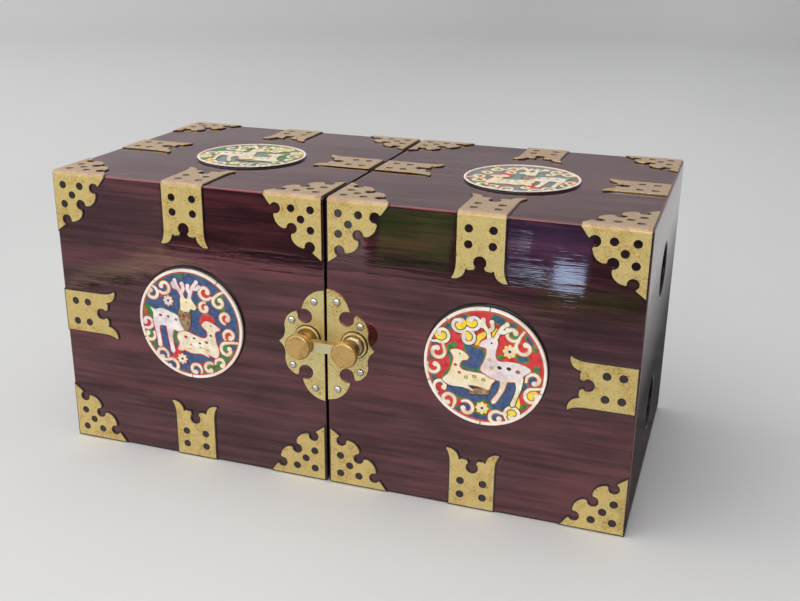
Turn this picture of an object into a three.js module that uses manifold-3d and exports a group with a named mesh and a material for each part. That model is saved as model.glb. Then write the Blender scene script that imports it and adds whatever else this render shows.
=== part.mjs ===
// A lacquered jewelry chest: two cubic wooden halves, hinged at the back like a book, each pierced at
// its end by two finger holes, bound with pierced brass leaves, set with painted roundels, and held
// shut by a swinging latch arm between two knobbed posts. Millimetres, +Z up, front face towards -Y.
import * as THREE from 'three';
import { mergeVertices } from 'three/addons/utils/BufferGeometryUtils.js';
import Module from 'manifold-3d';

const wasm = await Module();
wasm.setup();

// The two halves of the case
const CASE_HEIGHT = 150;
const CASE_DEPTH = 148;
const HALF_LENGTH = 150.6;
const SPLIT_GAP = 1.4;
const WALL = 8;
const EDGE_RADIUS = 1;
const EDGE_STEPS = 2;

// Finger holes through each end, one over the other
const FINGER_HOLE_RADIUS = 14;
const FINGER_HOLE_SIDES = 24;
const LOW_HOLE_RISE = 37;
const HIGH_HOLE_DROP = 40;

// Sheet brass and how far its leaves stay from the split
const BRASS = 0.8;
const SPLIT_MARGIN = 1;
const LEAF_HOLE_RADIUS = 2;
const LEAF_HOLE_SIDES = 6;

// Corner leaf, measured from its square corner along both legs
const CORNER_LEG = 29.8;
const CORNER_TIP = [2.2, 3];
const CORNER_BITE_RADIUS = 2.75;
const SIDE_BITE_FAR = 23.7;
const SIDE_BITE_NEAR = 5.9;
const MIDDLE_BITE = 15.2;
const LOBE_TIP = [24.6, 9.4];
const LOBE_SIDE = [23.4, 12.8];
const LOBE_PEAK = [21.8, 14.5];
const LOBE_HEEL = [19, 15.5];
const CORNER_HOLES = [[5.4, 5.4], [15.4, 5.4], [5.4, 15.4], [10.4, 10.4]];

// Strap leaf, measured from the middle of its root
const STRAP_WIDTH = 22.4;
const STRAP_LENGTH = 30.4;
const STRAP_FLARE = 2;
const STRAP_STRAIGHT = 23.5;
const STRAP_NICK_WIDTH = 12.8;
const STRAP_NICK_DEPTH = 5.1;
const STRAP_TIP_TOE = [3, 0.1];
const STRAP_TIP_HOLLOW = [5.3, 1.8];
const KEYHOLE_RADIUS = 3.1;
const KEYHOLE_RISE = 21.7;
const STRAP_HOLE_SPREAD = 11.4;
const STRAP_LOW_HOLE = 6.1;
const STRAP_HIGH_HOLE = 13.6;

// Plainer leaves of the back
const PLAIN_WAIST = 10;
const PLAIN_FORK = 6;

// Painted roundels: radius, rise and the bevel of their rim, and how far each sits from the middle of
// its face, outwards from the split and then up or back
const ROUNDEL_RADIUS = 29.6;
const ROUNDEL_BEVEL = 0.4;
const ROUNDEL_SIDES = 24;
const FRONT_ROUNDEL_RISE = 2.4;
const TOP_ROUNDEL_RISE = 1.2;
const ROUNDEL_SHIFTS = {
  left_front: [-1.5, 2.2],
  right_front: [4.5, 2.2],
  left_top: [-3.5, -5],
  right_top: [2, -3],
};

// Latch plates, measured from the split edge and the plate's own middle
const LATCH_HALF_HEIGHT = 29.2;
const LATCH_SPLIT_MARGIN = 0.1;
const LATCH_LOBE_RADIUS = 12.7;
const LATCH_LOBE_INSET = 0.7;
const LATCH_LOBE_ENDS = [86, 10];
const LATCH_BITE = [10.2, 14.9];
const LATCH_BITE_RADIUS = 3.9;
const LATCH_HORN = [14.8, 17];
const LATCH_SHOULDER = [[17.4, 16], [20, 13.4], [21.3, 9.6], [21.1, 6], [22, 2.6]];
const LATCH_CUSP = 24.4;
const LATCH_SHIFT = { left: -0.1, right: 1.2 };

// Latch posts and arm: height above the middle of the front, distances in front of it, and radii
const POST_SHIFT = 3.3;
const LEFT_POST_OUT = 9;
const RIGHT_POST_OUT = 14.3;
const POST_SIDES = 12;
const BOSS_RADIUS = 6.7;
const BOSS_STEP = 1.2;
const BOSS_TOP_RADIUS = 5.4;
const BOSS_TOP = 0.7;
const LEFT_SHOULDER_RADIUS = 3.6;
const RIGHT_SHOULDER_RADIUS = 4.7;
const NECK_RADIUS = 2.4;
const KNOB_RADIUS = 6.65;
const KNOB_THICKNESS = 2.6;
const KNOB_BEVEL = 0.8;
const LEFT_KNOB_CLEAR = 0.6;
const RIGHT_KNOB_CLEAR = 2.4;
const ARM_BACK = 6.2;
const ARM_THICKNESS = 4;
const ARM_HEIGHT = 5;
const ARM_EYE_RADIUS = 5;
const ARM_CLEARANCE = 0.4;
const ARM_SIDE_CLEARANCE = 0.3;
const ARM_ARC_STEPS = 8;

// Back hinges
const HINGE_CORNER_GAP = 5.5;
const HINGE_HEIGHT = 26;
const HINGE_LEAF = 24;
const HINGE_LEAF_THICKNESS = 1;
const HINGE_LEAF_CUT = 5;
const KNUCKLE_RADIUS = 2.3;
const KNUCKLE_BACK = 2.4;
const KNUCKLE_SIDES = 12;
const KNUCKLE_GAP = 0.3;
const KNUCKLE_RELIEF = 0.5;
const PIN_RADIUS = 1.2;
const PIN_CLEARANCE = 0.05;
const PIN_HEAD_RADIUS = 1.9;
const PIN_HEAD = 1.2;

const lacquer = { color: 0x3a1a1c, roughness: 0.12, metalness: 0 };
const brass = { color: 0xc9ab55, roughness: 0.35, metalness: 1 };
const oldBrass = { color: 0xa57c48, roughness: 0.4, metalness: 1 };
const paint = { color: 0xd9d2bd, roughness: 0.3, metalness: 0 };

const HALVES = { left: -1, right: 1 };
const chest = new THREE.Group();

// Geometry helpers: flat outlines, prisms and turned pieces placed by a mapping to the chest's frame

function arc(cx, cy, radius, fromDegrees, toDegrees, steps) {
  const points = [];
  for (let i = 0; i <= steps; i += 1) {
    const angle = THREE.MathUtils.degToRad(fromDegrees + ((toDegrees - fromDegrees) * i) / steps);
    points.push([cx + radius * Math.cos(angle), cy + radius * Math.sin(angle)]);
  }
  return points;
}

function circle(cx, cy, radius, sides) {
  const turn = 180 / sides;
  return arc(cx, cy, radius, turn, turn + 360 - 360 / sides, sides - 1);
}

function signedVolume(geometry) {
  const p = geometry.attributes.position;
  const index = geometry.index;
  const corners = [new THREE.Vector3(), new THREE.Vector3(), new THREE.Vector3()];
  let volume = 0;
  for (let i = 0; i < index.count; i += 3) {
    corners.forEach((corner, k) => corner.fromBufferAttribute(p, index.getX(i + k)));
    volume += corners[0].dot(corners[1].cross(corners[2])) / 6;
  }
  return volume;
}

// Moves every vertex by the mapping, welds the surface and turns its faces outwards.
function placed(geometry, place) {
  const source = geometry.attributes.position;
  const moved = new Float32Array(source.count * 3);
  for (let i = 0; i < source.count; i += 1) {
    moved.set(place(source.getX(i), source.getY(i), source.getZ(i)), i * 3);
  }
  const bare = new THREE.BufferGeometry();
  bare.setAttribute('position', new THREE.BufferAttribute(moved, 3));
  if (geometry.index) bare.setIndex(geometry.index.clone());
  const welded = mergeVertices(bare, 1e-4);
  const kept = [];
  for (let i = 0; i < welded.index.count; i += 3) {
    const face = [0, 1, 2].map((k) => welded.index.getX(i + k));
    if (new Set(face).size === 3) kept.push(...face);
  }
  welded.setIndex(kept);
  if (signedVolume(welded) < 0) welded.setIndex(kept.reverse());
  return welded;
}

function prism(outline, holes, thickness, place) {
  const shape = new THREE.Shape(outline.map(([a, b]) => new THREE.Vector2(a, b)));
  for (const hole of holes) {
    shape.holes.push(new THREE.Path(hole.map(([a, b]) => new THREE.Vector2(a, b))));
  }
  const geometry = new THREE.ExtrudeGeometry(shape, { depth: thickness, bevelEnabled: false });
  return placed(geometry, place);
}

function turned(profile, sides, place) {
  const points = profile.map(([radius, along]) => new THREE.Vector2(radius, along));
  return placed(new THREE.LatheGeometry(points, sides), place);
}

function block(low, high) {
  const [x, y, z] = low.map((value, i) => high[i] - value);
  const box = new THREE.BoxGeometry(x, y, z);
  return placed(box, (a, b, c) => [low[0] + x / 2 + a, low[1] + y / 2 + b, low[2] + z / 2 + c]);
}

function solid(geometry) {
  return new wasm.Manifold(new wasm.Mesh({
    numProp: 3,
    vertProperties: new Float32Array(geometry.attributes.position.array),
    triVerts: new Uint32Array(geometry.index.array),
  }));
}

function surface(manifold) {
  const mesh = manifold.asOriginal().getMesh();
  const geometry = new THREE.BufferGeometry();
  geometry.setAttribute('position', new THREE.BufferAttribute(new Float32Array(mesh.vertProperties), 3));
  geometry.setIndex(new THREE.BufferAttribute(new Uint32Array(mesh.triVerts), 1));
  return geometry;
}

function join(...geometries) {
  return surface(geometries.map(solid).reduce((whole, next) => whole.add(next)));
}

function common(...geometries) {
  return surface(geometries.map(solid).reduce((whole, next) => whole.intersect(next)));
}

function cut(body, ...tools) {
  return surface(tools.map(solid).reduce((whole, tool) => whole.subtract(tool), solid(body)));
}

function addPiece(name, geometry, finish) {
  const mesh = new THREE.Mesh(geometry, new THREE.MeshStandardMaterial(finish));
  mesh.geometry.computeVertexNormals();
  mesh.name = name;
  chest.add(mesh);
}

// Faces of a half: out runs from the split to the end, and lift stands off the face.

const fromSplit = (side, out) => side * (SPLIT_GAP / 2 + out);
const onFront = (side) => (out, height, lift) => [fromSplit(side, out), -lift, height];
const onBack = (side) => (out, height, lift) => [fromSplit(side, out), CASE_DEPTH + lift, height];
const onTop = (side) => (out, back, lift) => [fromSplit(side, out), back, CASE_HEIGHT + lift];

// The wooden case

function roundedRectangle(low, high, radius, roundedCorners) {
  const corners = [
    [high[0], high[1], 0],
    [low[0], high[1], 90],
    [low[0], low[1], 180],
    [high[0], low[1], 270],
  ];
  return corners.flatMap(([a, b, start], i) => {
    if (!roundedCorners[i]) return [[a, b]];
    const inward = [a === high[0] ? -radius : radius, b === high[1] ? -radius : radius];
    return arc(a + inward[0], b + inward[1], radius, start, start + 90, EDGE_STEPS);
  });
}

// The outer form of one half, with every edge but those at the split rounded.
function halfBlock(side) {
  const all = [true, true, true, true];
  const outerOnly = [true, false, false, true];
  const section = roundedRectangle([0, 0], [CASE_DEPTH, CASE_HEIGHT], EDGE_RADIUS, all);
  const elevation = roundedRectangle([0, 0], [HALF_LENGTH, CASE_HEIGHT], EDGE_RADIUS, outerOnly);
  const plan = roundedRectangle([0, 0], [HALF_LENGTH, CASE_DEPTH], EDGE_RADIUS, outerOnly);
  return common(
    prism(section, [], HALF_LENGTH, (y, z, out) => [fromSplit(side, out), y, z]),
    prism(elevation, [], CASE_DEPTH, (out, z, y) => [fromSplit(side, out), y, z]),
    prism(plan, [], CASE_HEIGHT, (out, y, z) => [fromSplit(side, out), y, z]),
  );
}

function board(half, side, low, high) {
  const ends = [fromSplit(side, low[0]), fromSplit(side, high[0])].sort((a, b) => a - b);
  return common(half, block([ends[0], low[1], low[2]], [ends[1], high[1], high[2]]));
}

function fingerHole(side, height) {
  const outline = circle(CASE_DEPTH / 2, height, FINGER_HOLE_RADIUS, FINGER_HOLE_SIDES);
  const place = (y, z, along) => [fromSplit(side, HALF_LENGTH - 2 * WALL + along), y, z];
  return prism(outline, [], 3 * WALL, place);
}

function addCase(name, side) {
  const half = halfBlock(side);
  const inside = HALF_LENGTH - WALL;
  const back = CASE_DEPTH - WALL;
  const roof = CASE_HEIGHT - WALL;
  const boards = {
    front: [[0, 0, 0], [HALF_LENGTH, WALL, CASE_HEIGHT]],
    back: [[0, back, 0], [HALF_LENGTH, CASE_DEPTH, CASE_HEIGHT]],
    bottom: [[0, WALL, 0], [HALF_LENGTH, back, WALL]],
    top: [[0, WALL, roof], [HALF_LENGTH, back, CASE_HEIGHT]],
  };
  for (const [boardName, [low, high]] of Object.entries(boards)) {
    addPiece(`${name}_${boardName}_board`, board(half, side, low, high), lacquer);
  }
  const end = board(half, side, [inside, WALL, WALL], [HALF_LENGTH, back, roof]);
  const holes = [LOW_HOLE_RISE, CASE_HEIGHT - HIGH_HOLE_DROP].map((height) => fingerHole(side, height));
  addPiece(`${name}_end_board`, cut(end, ...holes), lacquer);
}

// Brass leaves in their own frame: a along the edge they start from, b away from it

const mirrored = (points) => points.map(([a, b]) => [b, a]).reverse();
const flipped = (points) => points.map(([a, b]) => [-a, b]).reverse();

function cornerLeaf() {
  const bite = CORNER_BITE_RADIUS;
  const leg = [
    [CORNER_LEG, 0],
    [CORNER_LEG - CORNER_TIP[0], CORNER_TIP[1]],
    ...arc(SIDE_BITE_FAR, SIDE_BITE_NEAR, bite, -30, -280, 4),
    LOBE_TIP,
    LOBE_SIDE,
    LOBE_PEAK,
    LOBE_HEEL,
  ];
  const middle = arc(MIDDLE_BITE, MIDDLE_BITE, bite, 0, -270, 5);
  return {
    outline: [[0, 0], ...leg, ...middle, ...mirrored(leg)],
    holes: CORNER_HOLES.map(([a, b]) => circle(a, b, LEAF_HOLE_RADIUS, LEAF_HOLE_SIDES)),
    root: [0, CORNER_LEG],
  };
}

function strapLeaf() {
  const edge = STRAP_WIDTH / 2;
  const nick = STRAP_NICK_WIDTH / 2;
  const nickRise = STRAP_LENGTH - STRAP_NICK_DEPTH;
  const side = [
    [edge, 0],
    [edge, STRAP_STRAIGHT],
    [edge + STRAP_FLARE * 0.3, (STRAP_STRAIGHT + STRAP_LENGTH) / 2],
    [edge + STRAP_FLARE, STRAP_LENGTH],
    ...[STRAP_TIP_TOE, STRAP_TIP_HOLLOW].map(([a, b]) => [edge + STRAP_FLARE - a, STRAP_LENGTH - b]),
    [nick, nickRise],
    [KEYHOLE_RADIUS, nickRise],
  ];
  const keyhole = arc(0, KEYHOLE_RISE, KEYHOLE_RADIUS, 45, -225, 6);
  const across = STRAP_HOLE_SPREAD / 2;
  const centres = [STRAP_LOW_HOLE, STRAP_HIGH_HOLE].flatMap((b) => [[-across, b], [across, b]]);
  return {
    outline: [...side, ...keyhole, ...flipped(side)],
    holes: centres.map(([a, b]) => circle(a, b, LEAF_HOLE_RADIUS, LEAF_HOLE_SIDES)),
    root: [-edge, edge],
  };
}

function plainCornerLeaf() {
  const waist = [CORNER_LEG - PLAIN_WAIST, PLAIN_WAIST];
  return {
    outline: [[0, 0], [CORNER_LEG, 0], waist, ...mirrored([waist]), [0, CORNER_LEG]],
    holes: [],
    root: [0, CORNER_LEG],
  };
}

function plainStrapLeaf() {
  const edge = STRAP_WIDTH / 2;
  const side = [[edge, 0], [edge, STRAP_STRAIGHT], [edge + STRAP_FLARE, STRAP_LENGTH]];
  return {
    outline: [...side, [0, STRAP_LENGTH - PLAIN_FORK], ...flipped(side)],
    holes: [],
    root: [-edge, edge],
  };
}

function leafPrism(leaf, place) {
  return prism(leaf.outline, leaf.holes, BRASS, place);
}

// A leaf bent over the top edge: one leaf lies on the top and the other hangs down a face.
function bentLeaf(side, topLeaf, faceLeaf, along, isFront) {
  const depthOf = (y) => (isFront ? y : CASE_DEPTH - y);
  const fold = CASE_HEIGHT - EDGE_RADIUS;
  const outer = arc(EDGE_RADIUS, fold, EDGE_RADIUS + BRASS, 180, 90, EDGE_STEPS);
  const inner = arc(EDGE_RADIUS, fold, EDGE_RADIUS, 90, 180, EDGE_STEPS);
  const [from, to] = topLeaf.root;
  const xOf = (a) => fromSplit(side, along(a));
  return join(
    leafPrism(topLeaf, (a, b, c) => [xOf(a), depthOf(EDGE_RADIUS + b), CASE_HEIGHT + c]),
    leafPrism(faceLeaf, (a, b, c) => [xOf(a), depthOf(-c), fold - b]),
    prism([...outer, ...inner], [], to - from, (y, z, a) => [xOf(from + a), depthOf(y), z]),
  );
}

function addBrass(name, side) {
  const corner = cornerLeaf();
  const strap = strapLeaf();
  const plainCorner = plainCornerLeaf();
  const plainStrap = plainStrapLeaf();
  const outerEdge = HALF_LENGTH - EDGE_RADIUS;
  const middle = HALF_LENGTH / 2;
  const fromInner = (a) => SPLIT_MARGIN + a;
  const fromOuter = (a) => outerEdge - a;
  const fromMiddle = (a) => middle + a;
  const ways = { inner: fromInner, outer: fromOuter };

  for (const [way, along] of Object.entries(ways)) {
    addPiece(`${name}_top_front_${way}_corner`, bentLeaf(side, corner, corner, along, true), brass);
    addPiece(`${name}_top_back_${way}_corner`, bentLeaf(side, corner, plainCorner, along, false), brass);
    const up = (face) => (a, b, c) => face(along(a), EDGE_RADIUS + b, c);
    addPiece(`${name}_front_bottom_${way}_corner`, leafPrism(corner, up(onFront(side))), brass);
    addPiece(`${name}_back_bottom_${way}_corner`, leafPrism(plainCorner, up(onBack(side))), brass);
  }
  addPiece(`${name}_top_front_strap`, bentLeaf(side, strap, strap, fromMiddle, true), brass);
  addPiece(`${name}_top_back_strap`, bentLeaf(side, strap, plainStrap, fromMiddle, false), brass);
  const upright = (face) => (a, b, c) => face(fromMiddle(a), EDGE_RADIUS + b, c);
  addPiece(`${name}_front_bottom_strap`, leafPrism(strap, upright(onFront(side))), brass);
  addPiece(`${name}_back_bottom_strap`, leafPrism(plainStrap, upright(onBack(side))), brass);

  const midHeight = CASE_HEIGHT / 2;
  const midDepth = CASE_DEPTH / 2;
  const inwards = (face, mid) => (a, b, c) => face(fromOuter(b), mid + a, c);
  const outwards = (face, mid) => (a, b, c) => face(fromInner(b), mid + a, c);
  addPiece(`${name}_front_end_strap`, leafPrism(strap, inwards(onFront(side), midHeight)), brass);
  addPiece(`${name}_back_end_strap`, leafPrism(plainStrap, inwards(onBack(side), midHeight)), brass);
  addPiece(`${name}_top_end_strap`, leafPrism(strap, inwards(onTop(side), midDepth)), brass);
  addPiece(`${name}_top_split_strap`, leafPrism(strap, outwards(onTop(side), midDepth)), brass);
}

// Roundels

function roundel(rise, place) {
  const profile = [
    [0, 0],
    [ROUNDEL_RADIUS, 0],
    [ROUNDEL_RADIUS, rise - ROUNDEL_BEVEL],
    [ROUNDEL_RADIUS - ROUNDEL_BEVEL, rise],
    [0, rise],
  ];
  return turned(profile, ROUNDEL_SIDES, place);
}

function addRoundels(name, side) {
  const [frontOut, frontUp] = ROUNDEL_SHIFTS[`${name}_front`];
  const [topOut, topBack] = ROUNDEL_SHIFTS[`${name}_top`];
  const middle = HALF_LENGTH / 2;
  const height = CASE_HEIGHT / 2 + frontUp;
  const back = CASE_DEPTH / 2 + topBack;
  const frontPlace = (a, lift, b) => onFront(side)(middle + frontOut + a, height + b, lift);
  const topPlace = (a, lift, b) => onTop(side)(middle + topOut + a, back + b, lift);
  addPiece(`${name}_front_roundel`, roundel(FRONT_ROUNDEL_RISE, frontPlace), paint);
  addPiece(`${name}_top_roundel`, roundel(TOP_ROUNDEL_RISE, topPlace), paint);
}

// Latch

function latchPlate(name, side) {
  const lobe = arc(
    -LATCH_LOBE_INSET,
    LATCH_HALF_HEIGHT - LATCH_LOBE_RADIUS,
    LATCH_LOBE_RADIUS,
    ...LATCH_LOBE_ENDS,
    4,
  );
  const bite = arc(...LATCH_BITE, LATCH_BITE_RADIUS, 88, 370, 7);
  const upper = [[0, LATCH_HALF_HEIGHT], ...lobe, ...bite, LATCH_HORN, ...LATCH_SHOULDER];
  const lower = upper.map(([a, b]) => [a, -b]).reverse();
  const outline = [...upper, [LATCH_CUSP, 0], ...lower];
  const face = onFront(side);
  const middle = CASE_HEIGHT / 2 + LATCH_SHIFT[name];
  const place = (a, b, c) => face(LATCH_SPLIT_MARGIN + a, middle + b, c);
  return prism(outline, [], BRASS, place);
}

function latchPost(side, out, shankRadius, knobClear) {
  const bossTop = BRASS + BOSS_STEP + BOSS_TOP;
  const neckStart = ARM_BACK - ARM_SIDE_CLEARANCE;
  const knobBack = ARM_BACK + ARM_THICKNESS + knobClear;
  const knobFront = knobBack + KNOB_THICKNESS;
  const profile = [
    [0, BRASS],
    [BOSS_RADIUS, BRASS],
    [BOSS_RADIUS, BRASS + BOSS_STEP],
    [BOSS_TOP_RADIUS, bossTop],
    [shankRadius, bossTop],
    [shankRadius, neckStart],
    [NECK_RADIUS, neckStart],
    [NECK_RADIUS, knobBack],
    [KNOB_RADIUS - KNOB_BEVEL, knobBack],
    [KNOB_RADIUS, knobBack + KNOB_BEVEL],
    [KNOB_RADIUS, knobFront - KNOB_BEVEL],
    [KNOB_RADIUS - KNOB_BEVEL, knobFront],
    [0, knobFront],
  ];
  const rise = CASE_HEIGHT / 2 + POST_SHIFT;
  return turned(profile, POST_SIDES, (a, lift, b) => onFront(side)(out + a, rise + b, lift));
}

function latchArm() {
  const span = LEFT_POST_OUT + SPLIT_GAP + RIGHT_POST_OUT;
  const half = ARM_HEIGHT / 2;
  const meet = THREE.MathUtils.radToDeg(Math.asin(half / ARM_EYE_RADIUS));
  const slot = NECK_RADIUS + ARM_CLEARANCE;
  const open = THREE.MathUtils.radToDeg(Math.asin(slot / ARM_EYE_RADIUS));
  const outline = [
    ...arc(0, 0, ARM_EYE_RADIUS, meet, 360 - meet, ARM_ARC_STEPS),
    ...arc(span, 0, ARM_EYE_RADIUS, 180 + meet, 270 - open, 2),
    ...arc(span, 0, slot, 180, 0, 6),
    ...arc(span, 0, ARM_EYE_RADIUS, open - 90, 180 - meet, ARM_ARC_STEPS),
  ];
  const eye = circle(0, 0, slot, POST_SIDES);
  const pivot = fromSplit(HALVES.left, LEFT_POST_OUT);
  const rise = CASE_HEIGHT / 2 + POST_SHIFT;
  return prism(outline, [eye], ARM_THICKNESS, (a, b, c) => [pivot + a, -ARM_BACK - c, rise + b]);
}

function addLatch() {
  addPiece('left_latch_plate', latchPlate('left', HALVES.left), brass);
  addPiece('right_latch_plate', latchPlate('right', HALVES.right), brass);
  const leftPost = latchPost(HALVES.left, LEFT_POST_OUT, LEFT_SHOULDER_RADIUS, LEFT_KNOB_CLEAR);
  const rightPost = latchPost(HALVES.right, RIGHT_POST_OUT, RIGHT_SHOULDER_RADIUS, RIGHT_KNOB_CLEAR);
  addPiece('left_latch_post', leftPost, oldBrass);
  addPiece('right_latch_post', rightPost, oldBrass);
  addPiece('latch_arm', latchArm(), brass);
}

// Hinges: three knuckles each, the outer two on the left leaf and the middle one on the right

function hingeLeaf(side, rise, knuckleSpans) {
  const bottom = rise - HINGE_HEIGHT / 2;
  const top = rise + HINGE_HEIGHT / 2;
  const start = KNUCKLE_RADIUS + KNUCKLE_RELIEF;
  const end = start + HINGE_LEAF;
  const outline = [
    [start, bottom],
    [end - HINGE_LEAF_CUT, bottom],
    [end, bottom + HINGE_LEAF_CUT],
    [end, top - HINGE_LEAF_CUT],
    [end - HINGE_LEAF_CUT, top],
    [start, top],
  ];
  const place = (a, b, c) => [side * a, CASE_DEPTH + c, b];
  const axisY = CASE_DEPTH + KNUCKLE_BACK;
  const bore = PIN_RADIUS / Math.cos(Math.PI / KNUCKLE_SIDES) + PIN_CLEARANCE;
  const pieces = [prism(outline, [], HINGE_LEAF_THICKNESS, place)];
  const bores = [];
  for (const [low, high] of knuckleSpans(bottom, top)) {
    const tab = [[0, low], [end / 2, low], [end / 2, high], [0, high]];
    pieces.push(prism(tab, [], HINGE_LEAF_THICKNESS, place));
    const rod = (radius, from, to) => prism(
      circle(0, 0, radius, KNUCKLE_SIDES),
      [],
      to - from,
      (a, b, c) => [a, axisY + b, from + c],
    );
    pieces.push(rod(KNUCKLE_RADIUS, low, high));
    bores.push(rod(bore, low - KNUCKLE_GAP, high + KNUCKLE_GAP));
  }
  return cut(join(...pieces), ...bores);
}

function hingePin(rise) {
  const low = rise - HINGE_HEIGHT / 2 - KNUCKLE_GAP;
  const high = rise + HINGE_HEIGHT / 2 + KNUCKLE_GAP;
  const profile = [
    [0, low - PIN_HEAD],
    [PIN_HEAD_RADIUS, low - PIN_HEAD],
    [PIN_HEAD_RADIUS, low],
    [PIN_RADIUS, low],
    [PIN_RADIUS, high],
    [PIN_HEAD_RADIUS, high],
    [PIN_HEAD_RADIUS, high + PIN_HEAD],
    [0, high + PIN_HEAD],
  ];
  return turned(profile, KNUCKLE_SIDES, (a, along, b) => [a, CASE_DEPTH + KNUCKLE_BACK + b, along]);
}

function addHinges() {
  const third = HINGE_HEIGHT / 3;
  const outerTwo = (bottom, top) => [[bottom, bottom + third], [top - third, top]];
  const middle = (bottom, top) => [[bottom + third + KNUCKLE_GAP, top - third - KNUCKLE_GAP]];
  const inset = EDGE_RADIUS + CORNER_LEG + HINGE_CORNER_GAP + HINGE_HEIGHT / 2;
  const rises = { lower: inset, upper: CASE_HEIGHT - inset };
  for (const [name, rise] of Object.entries(rises)) {
    addPiece(`${name}_hinge_left_leaf`, hingeLeaf(HALVES.left, rise, outerTwo), brass);
    addPiece(`${name}_hinge_right_leaf`, hingeLeaf(HALVES.right, rise, middle), brass);
    addPiece(`${name}_hinge_pin`, hingePin(rise), brass);
  }
}

for (const [name, side] of Object.entries(HALVES)) {
  addCase(name, side);
  addBrass(name, side);
  addRoundels(name, side);
}
addLatch();
addHinges();

// The origin is the middle of the whole footprint, knobs and hinges included, on the underside.
const knobFront = ARM_BACK + ARM_THICKNESS + Math.max(LEFT_KNOB_CLEAR, RIGHT_KNOB_CLEAR) + KNOB_THICKNESS;
const hingeBack = CASE_DEPTH + KNUCKLE_BACK + KNUCKLE_RADIUS * Math.cos(Math.PI / KNUCKLE_SIDES);
chest.position.y = -(hingeBack - knobFront) / 2;

export default chest;
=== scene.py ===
# %% [markdown]
# # A lacquered jewelry chest
# The real thing is a small table-top chest of dark lacquered wood, made as two cubic halves that are
# hinged at the back like a book and bound with pierced sheet brass. The packed CAD model fixes every
# place and size. This lesson dresses it: each piece is a finer mesh in the same frame, in metres, which
# stands for the plain nodes under it and rides on their body.

import math

import bmesh
import bpy
from mathutils import Matrix, Vector
from mathutils.geometry import tessellate_polygon


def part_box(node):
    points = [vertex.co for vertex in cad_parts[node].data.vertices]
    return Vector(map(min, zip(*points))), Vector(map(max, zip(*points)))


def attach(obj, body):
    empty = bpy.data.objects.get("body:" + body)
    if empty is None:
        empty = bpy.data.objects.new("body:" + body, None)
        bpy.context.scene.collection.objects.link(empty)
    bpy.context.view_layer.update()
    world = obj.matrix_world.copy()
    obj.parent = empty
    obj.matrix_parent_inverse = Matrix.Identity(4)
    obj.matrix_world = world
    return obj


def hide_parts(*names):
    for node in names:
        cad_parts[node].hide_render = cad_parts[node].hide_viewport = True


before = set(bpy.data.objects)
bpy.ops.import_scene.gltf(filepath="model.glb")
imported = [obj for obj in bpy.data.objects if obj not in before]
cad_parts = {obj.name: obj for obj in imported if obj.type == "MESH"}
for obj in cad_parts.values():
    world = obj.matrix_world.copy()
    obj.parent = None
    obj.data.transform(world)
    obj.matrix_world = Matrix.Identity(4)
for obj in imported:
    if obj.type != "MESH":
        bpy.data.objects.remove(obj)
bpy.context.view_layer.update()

# %% [markdown]
# ## Measures
# A joiner measures this chest in millimetres from its front face, its split and its underside, so the
# script does too, and one function turns such a point into the frame's metres. x runs to the right
# from the split, y to the back from the front face, and z up from the underside.

# %% The chest's measures
MM = 0.001
HEIGHT = 150
DEPTH = 148
HALF = 150.6
SPLIT = 1.4
WALL = 8
EDGE = 1
BRASS = 0.8
SIDES = {"left": -1, "right": 1}
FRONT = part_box("left_front_board")[0].y / MM


def spot(x, y, z):
    """A chest point in millimetres as a point of the frame in metres."""
    return Vector((x, y + FRONT, z)) * MM


def from_split(side, out):
    return side * (SPLIT / 2 + out)


def on_front(side):
    return lambda out, height, lift: spot(from_split(side, out), -lift, height)


def on_back(side):
    return lambda out, height, lift: spot(from_split(side, out), DEPTH + lift, height)


def on_top(side):
    return lambda out, back, lift: spot(from_split(side, out), back, HEIGHT + lift)


print("front face at y =", round(FRONT, 2), "mm")

# %% [markdown]
# ## The camera
# The photograph was taken from the right, about a forearm's length away and a little above the lid.
# Nine corners of the case gave the place, the angles and the lens, so the camera is written down here
# and never moved to suit a piece.

# %% Camera
def in_scene(name, data):
    """A new object of the scene that shows some data."""
    made = bpy.data.objects.new(name, data)
    bpy.context.scene.collection.objects.link(made)
    return made


AZIMUTH = math.radians(18.97)
ELEVATION = math.radians(20.05)
ROLL = math.radians(0.65)
CAMERA_SPOT = (185.25, -428.74, 269.51)
LENS = 46.14
SENSOR = 36

behind = Vector((
    math.sin(AZIMUTH) * math.cos(ELEVATION),
    -math.cos(AZIMUTH) * math.cos(ELEVATION),
    math.sin(ELEVATION),
))
level_right = Vector((0, 0, 1)).cross(behind).normalized()
level_up = behind.cross(level_right)
right = math.cos(ROLL) * level_right + math.sin(ROLL) * level_up
up = math.cos(ROLL) * level_up - math.sin(ROLL) * level_right

camera_data = bpy.data.cameras.new("camera")
camera_data.lens = LENS
camera_data.sensor_width = SENSOR
camera_data.sensor_fit = "HORIZONTAL"
camera_data.clip_start = 0.01
camera = in_scene("camera", camera_data)
facing = Matrix((right, up, behind)).transposed().to_4x4()
camera.matrix_world = Matrix.Translation(spot(*CAMERA_SPOT)) @ facing
bpy.context.scene.camera = camera
print("camera at", [round(value, 3) for value in camera.location])

# %% [markdown]
# ## Writing shaders as sums
# A shader is a recipe of small nodes. Placing each by hand hides the idea, so a `Signal` wraps one
# output of a node and lets Python's own operators add the Math nodes: `1 - mask * 0.3` makes two of
# them.

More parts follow.
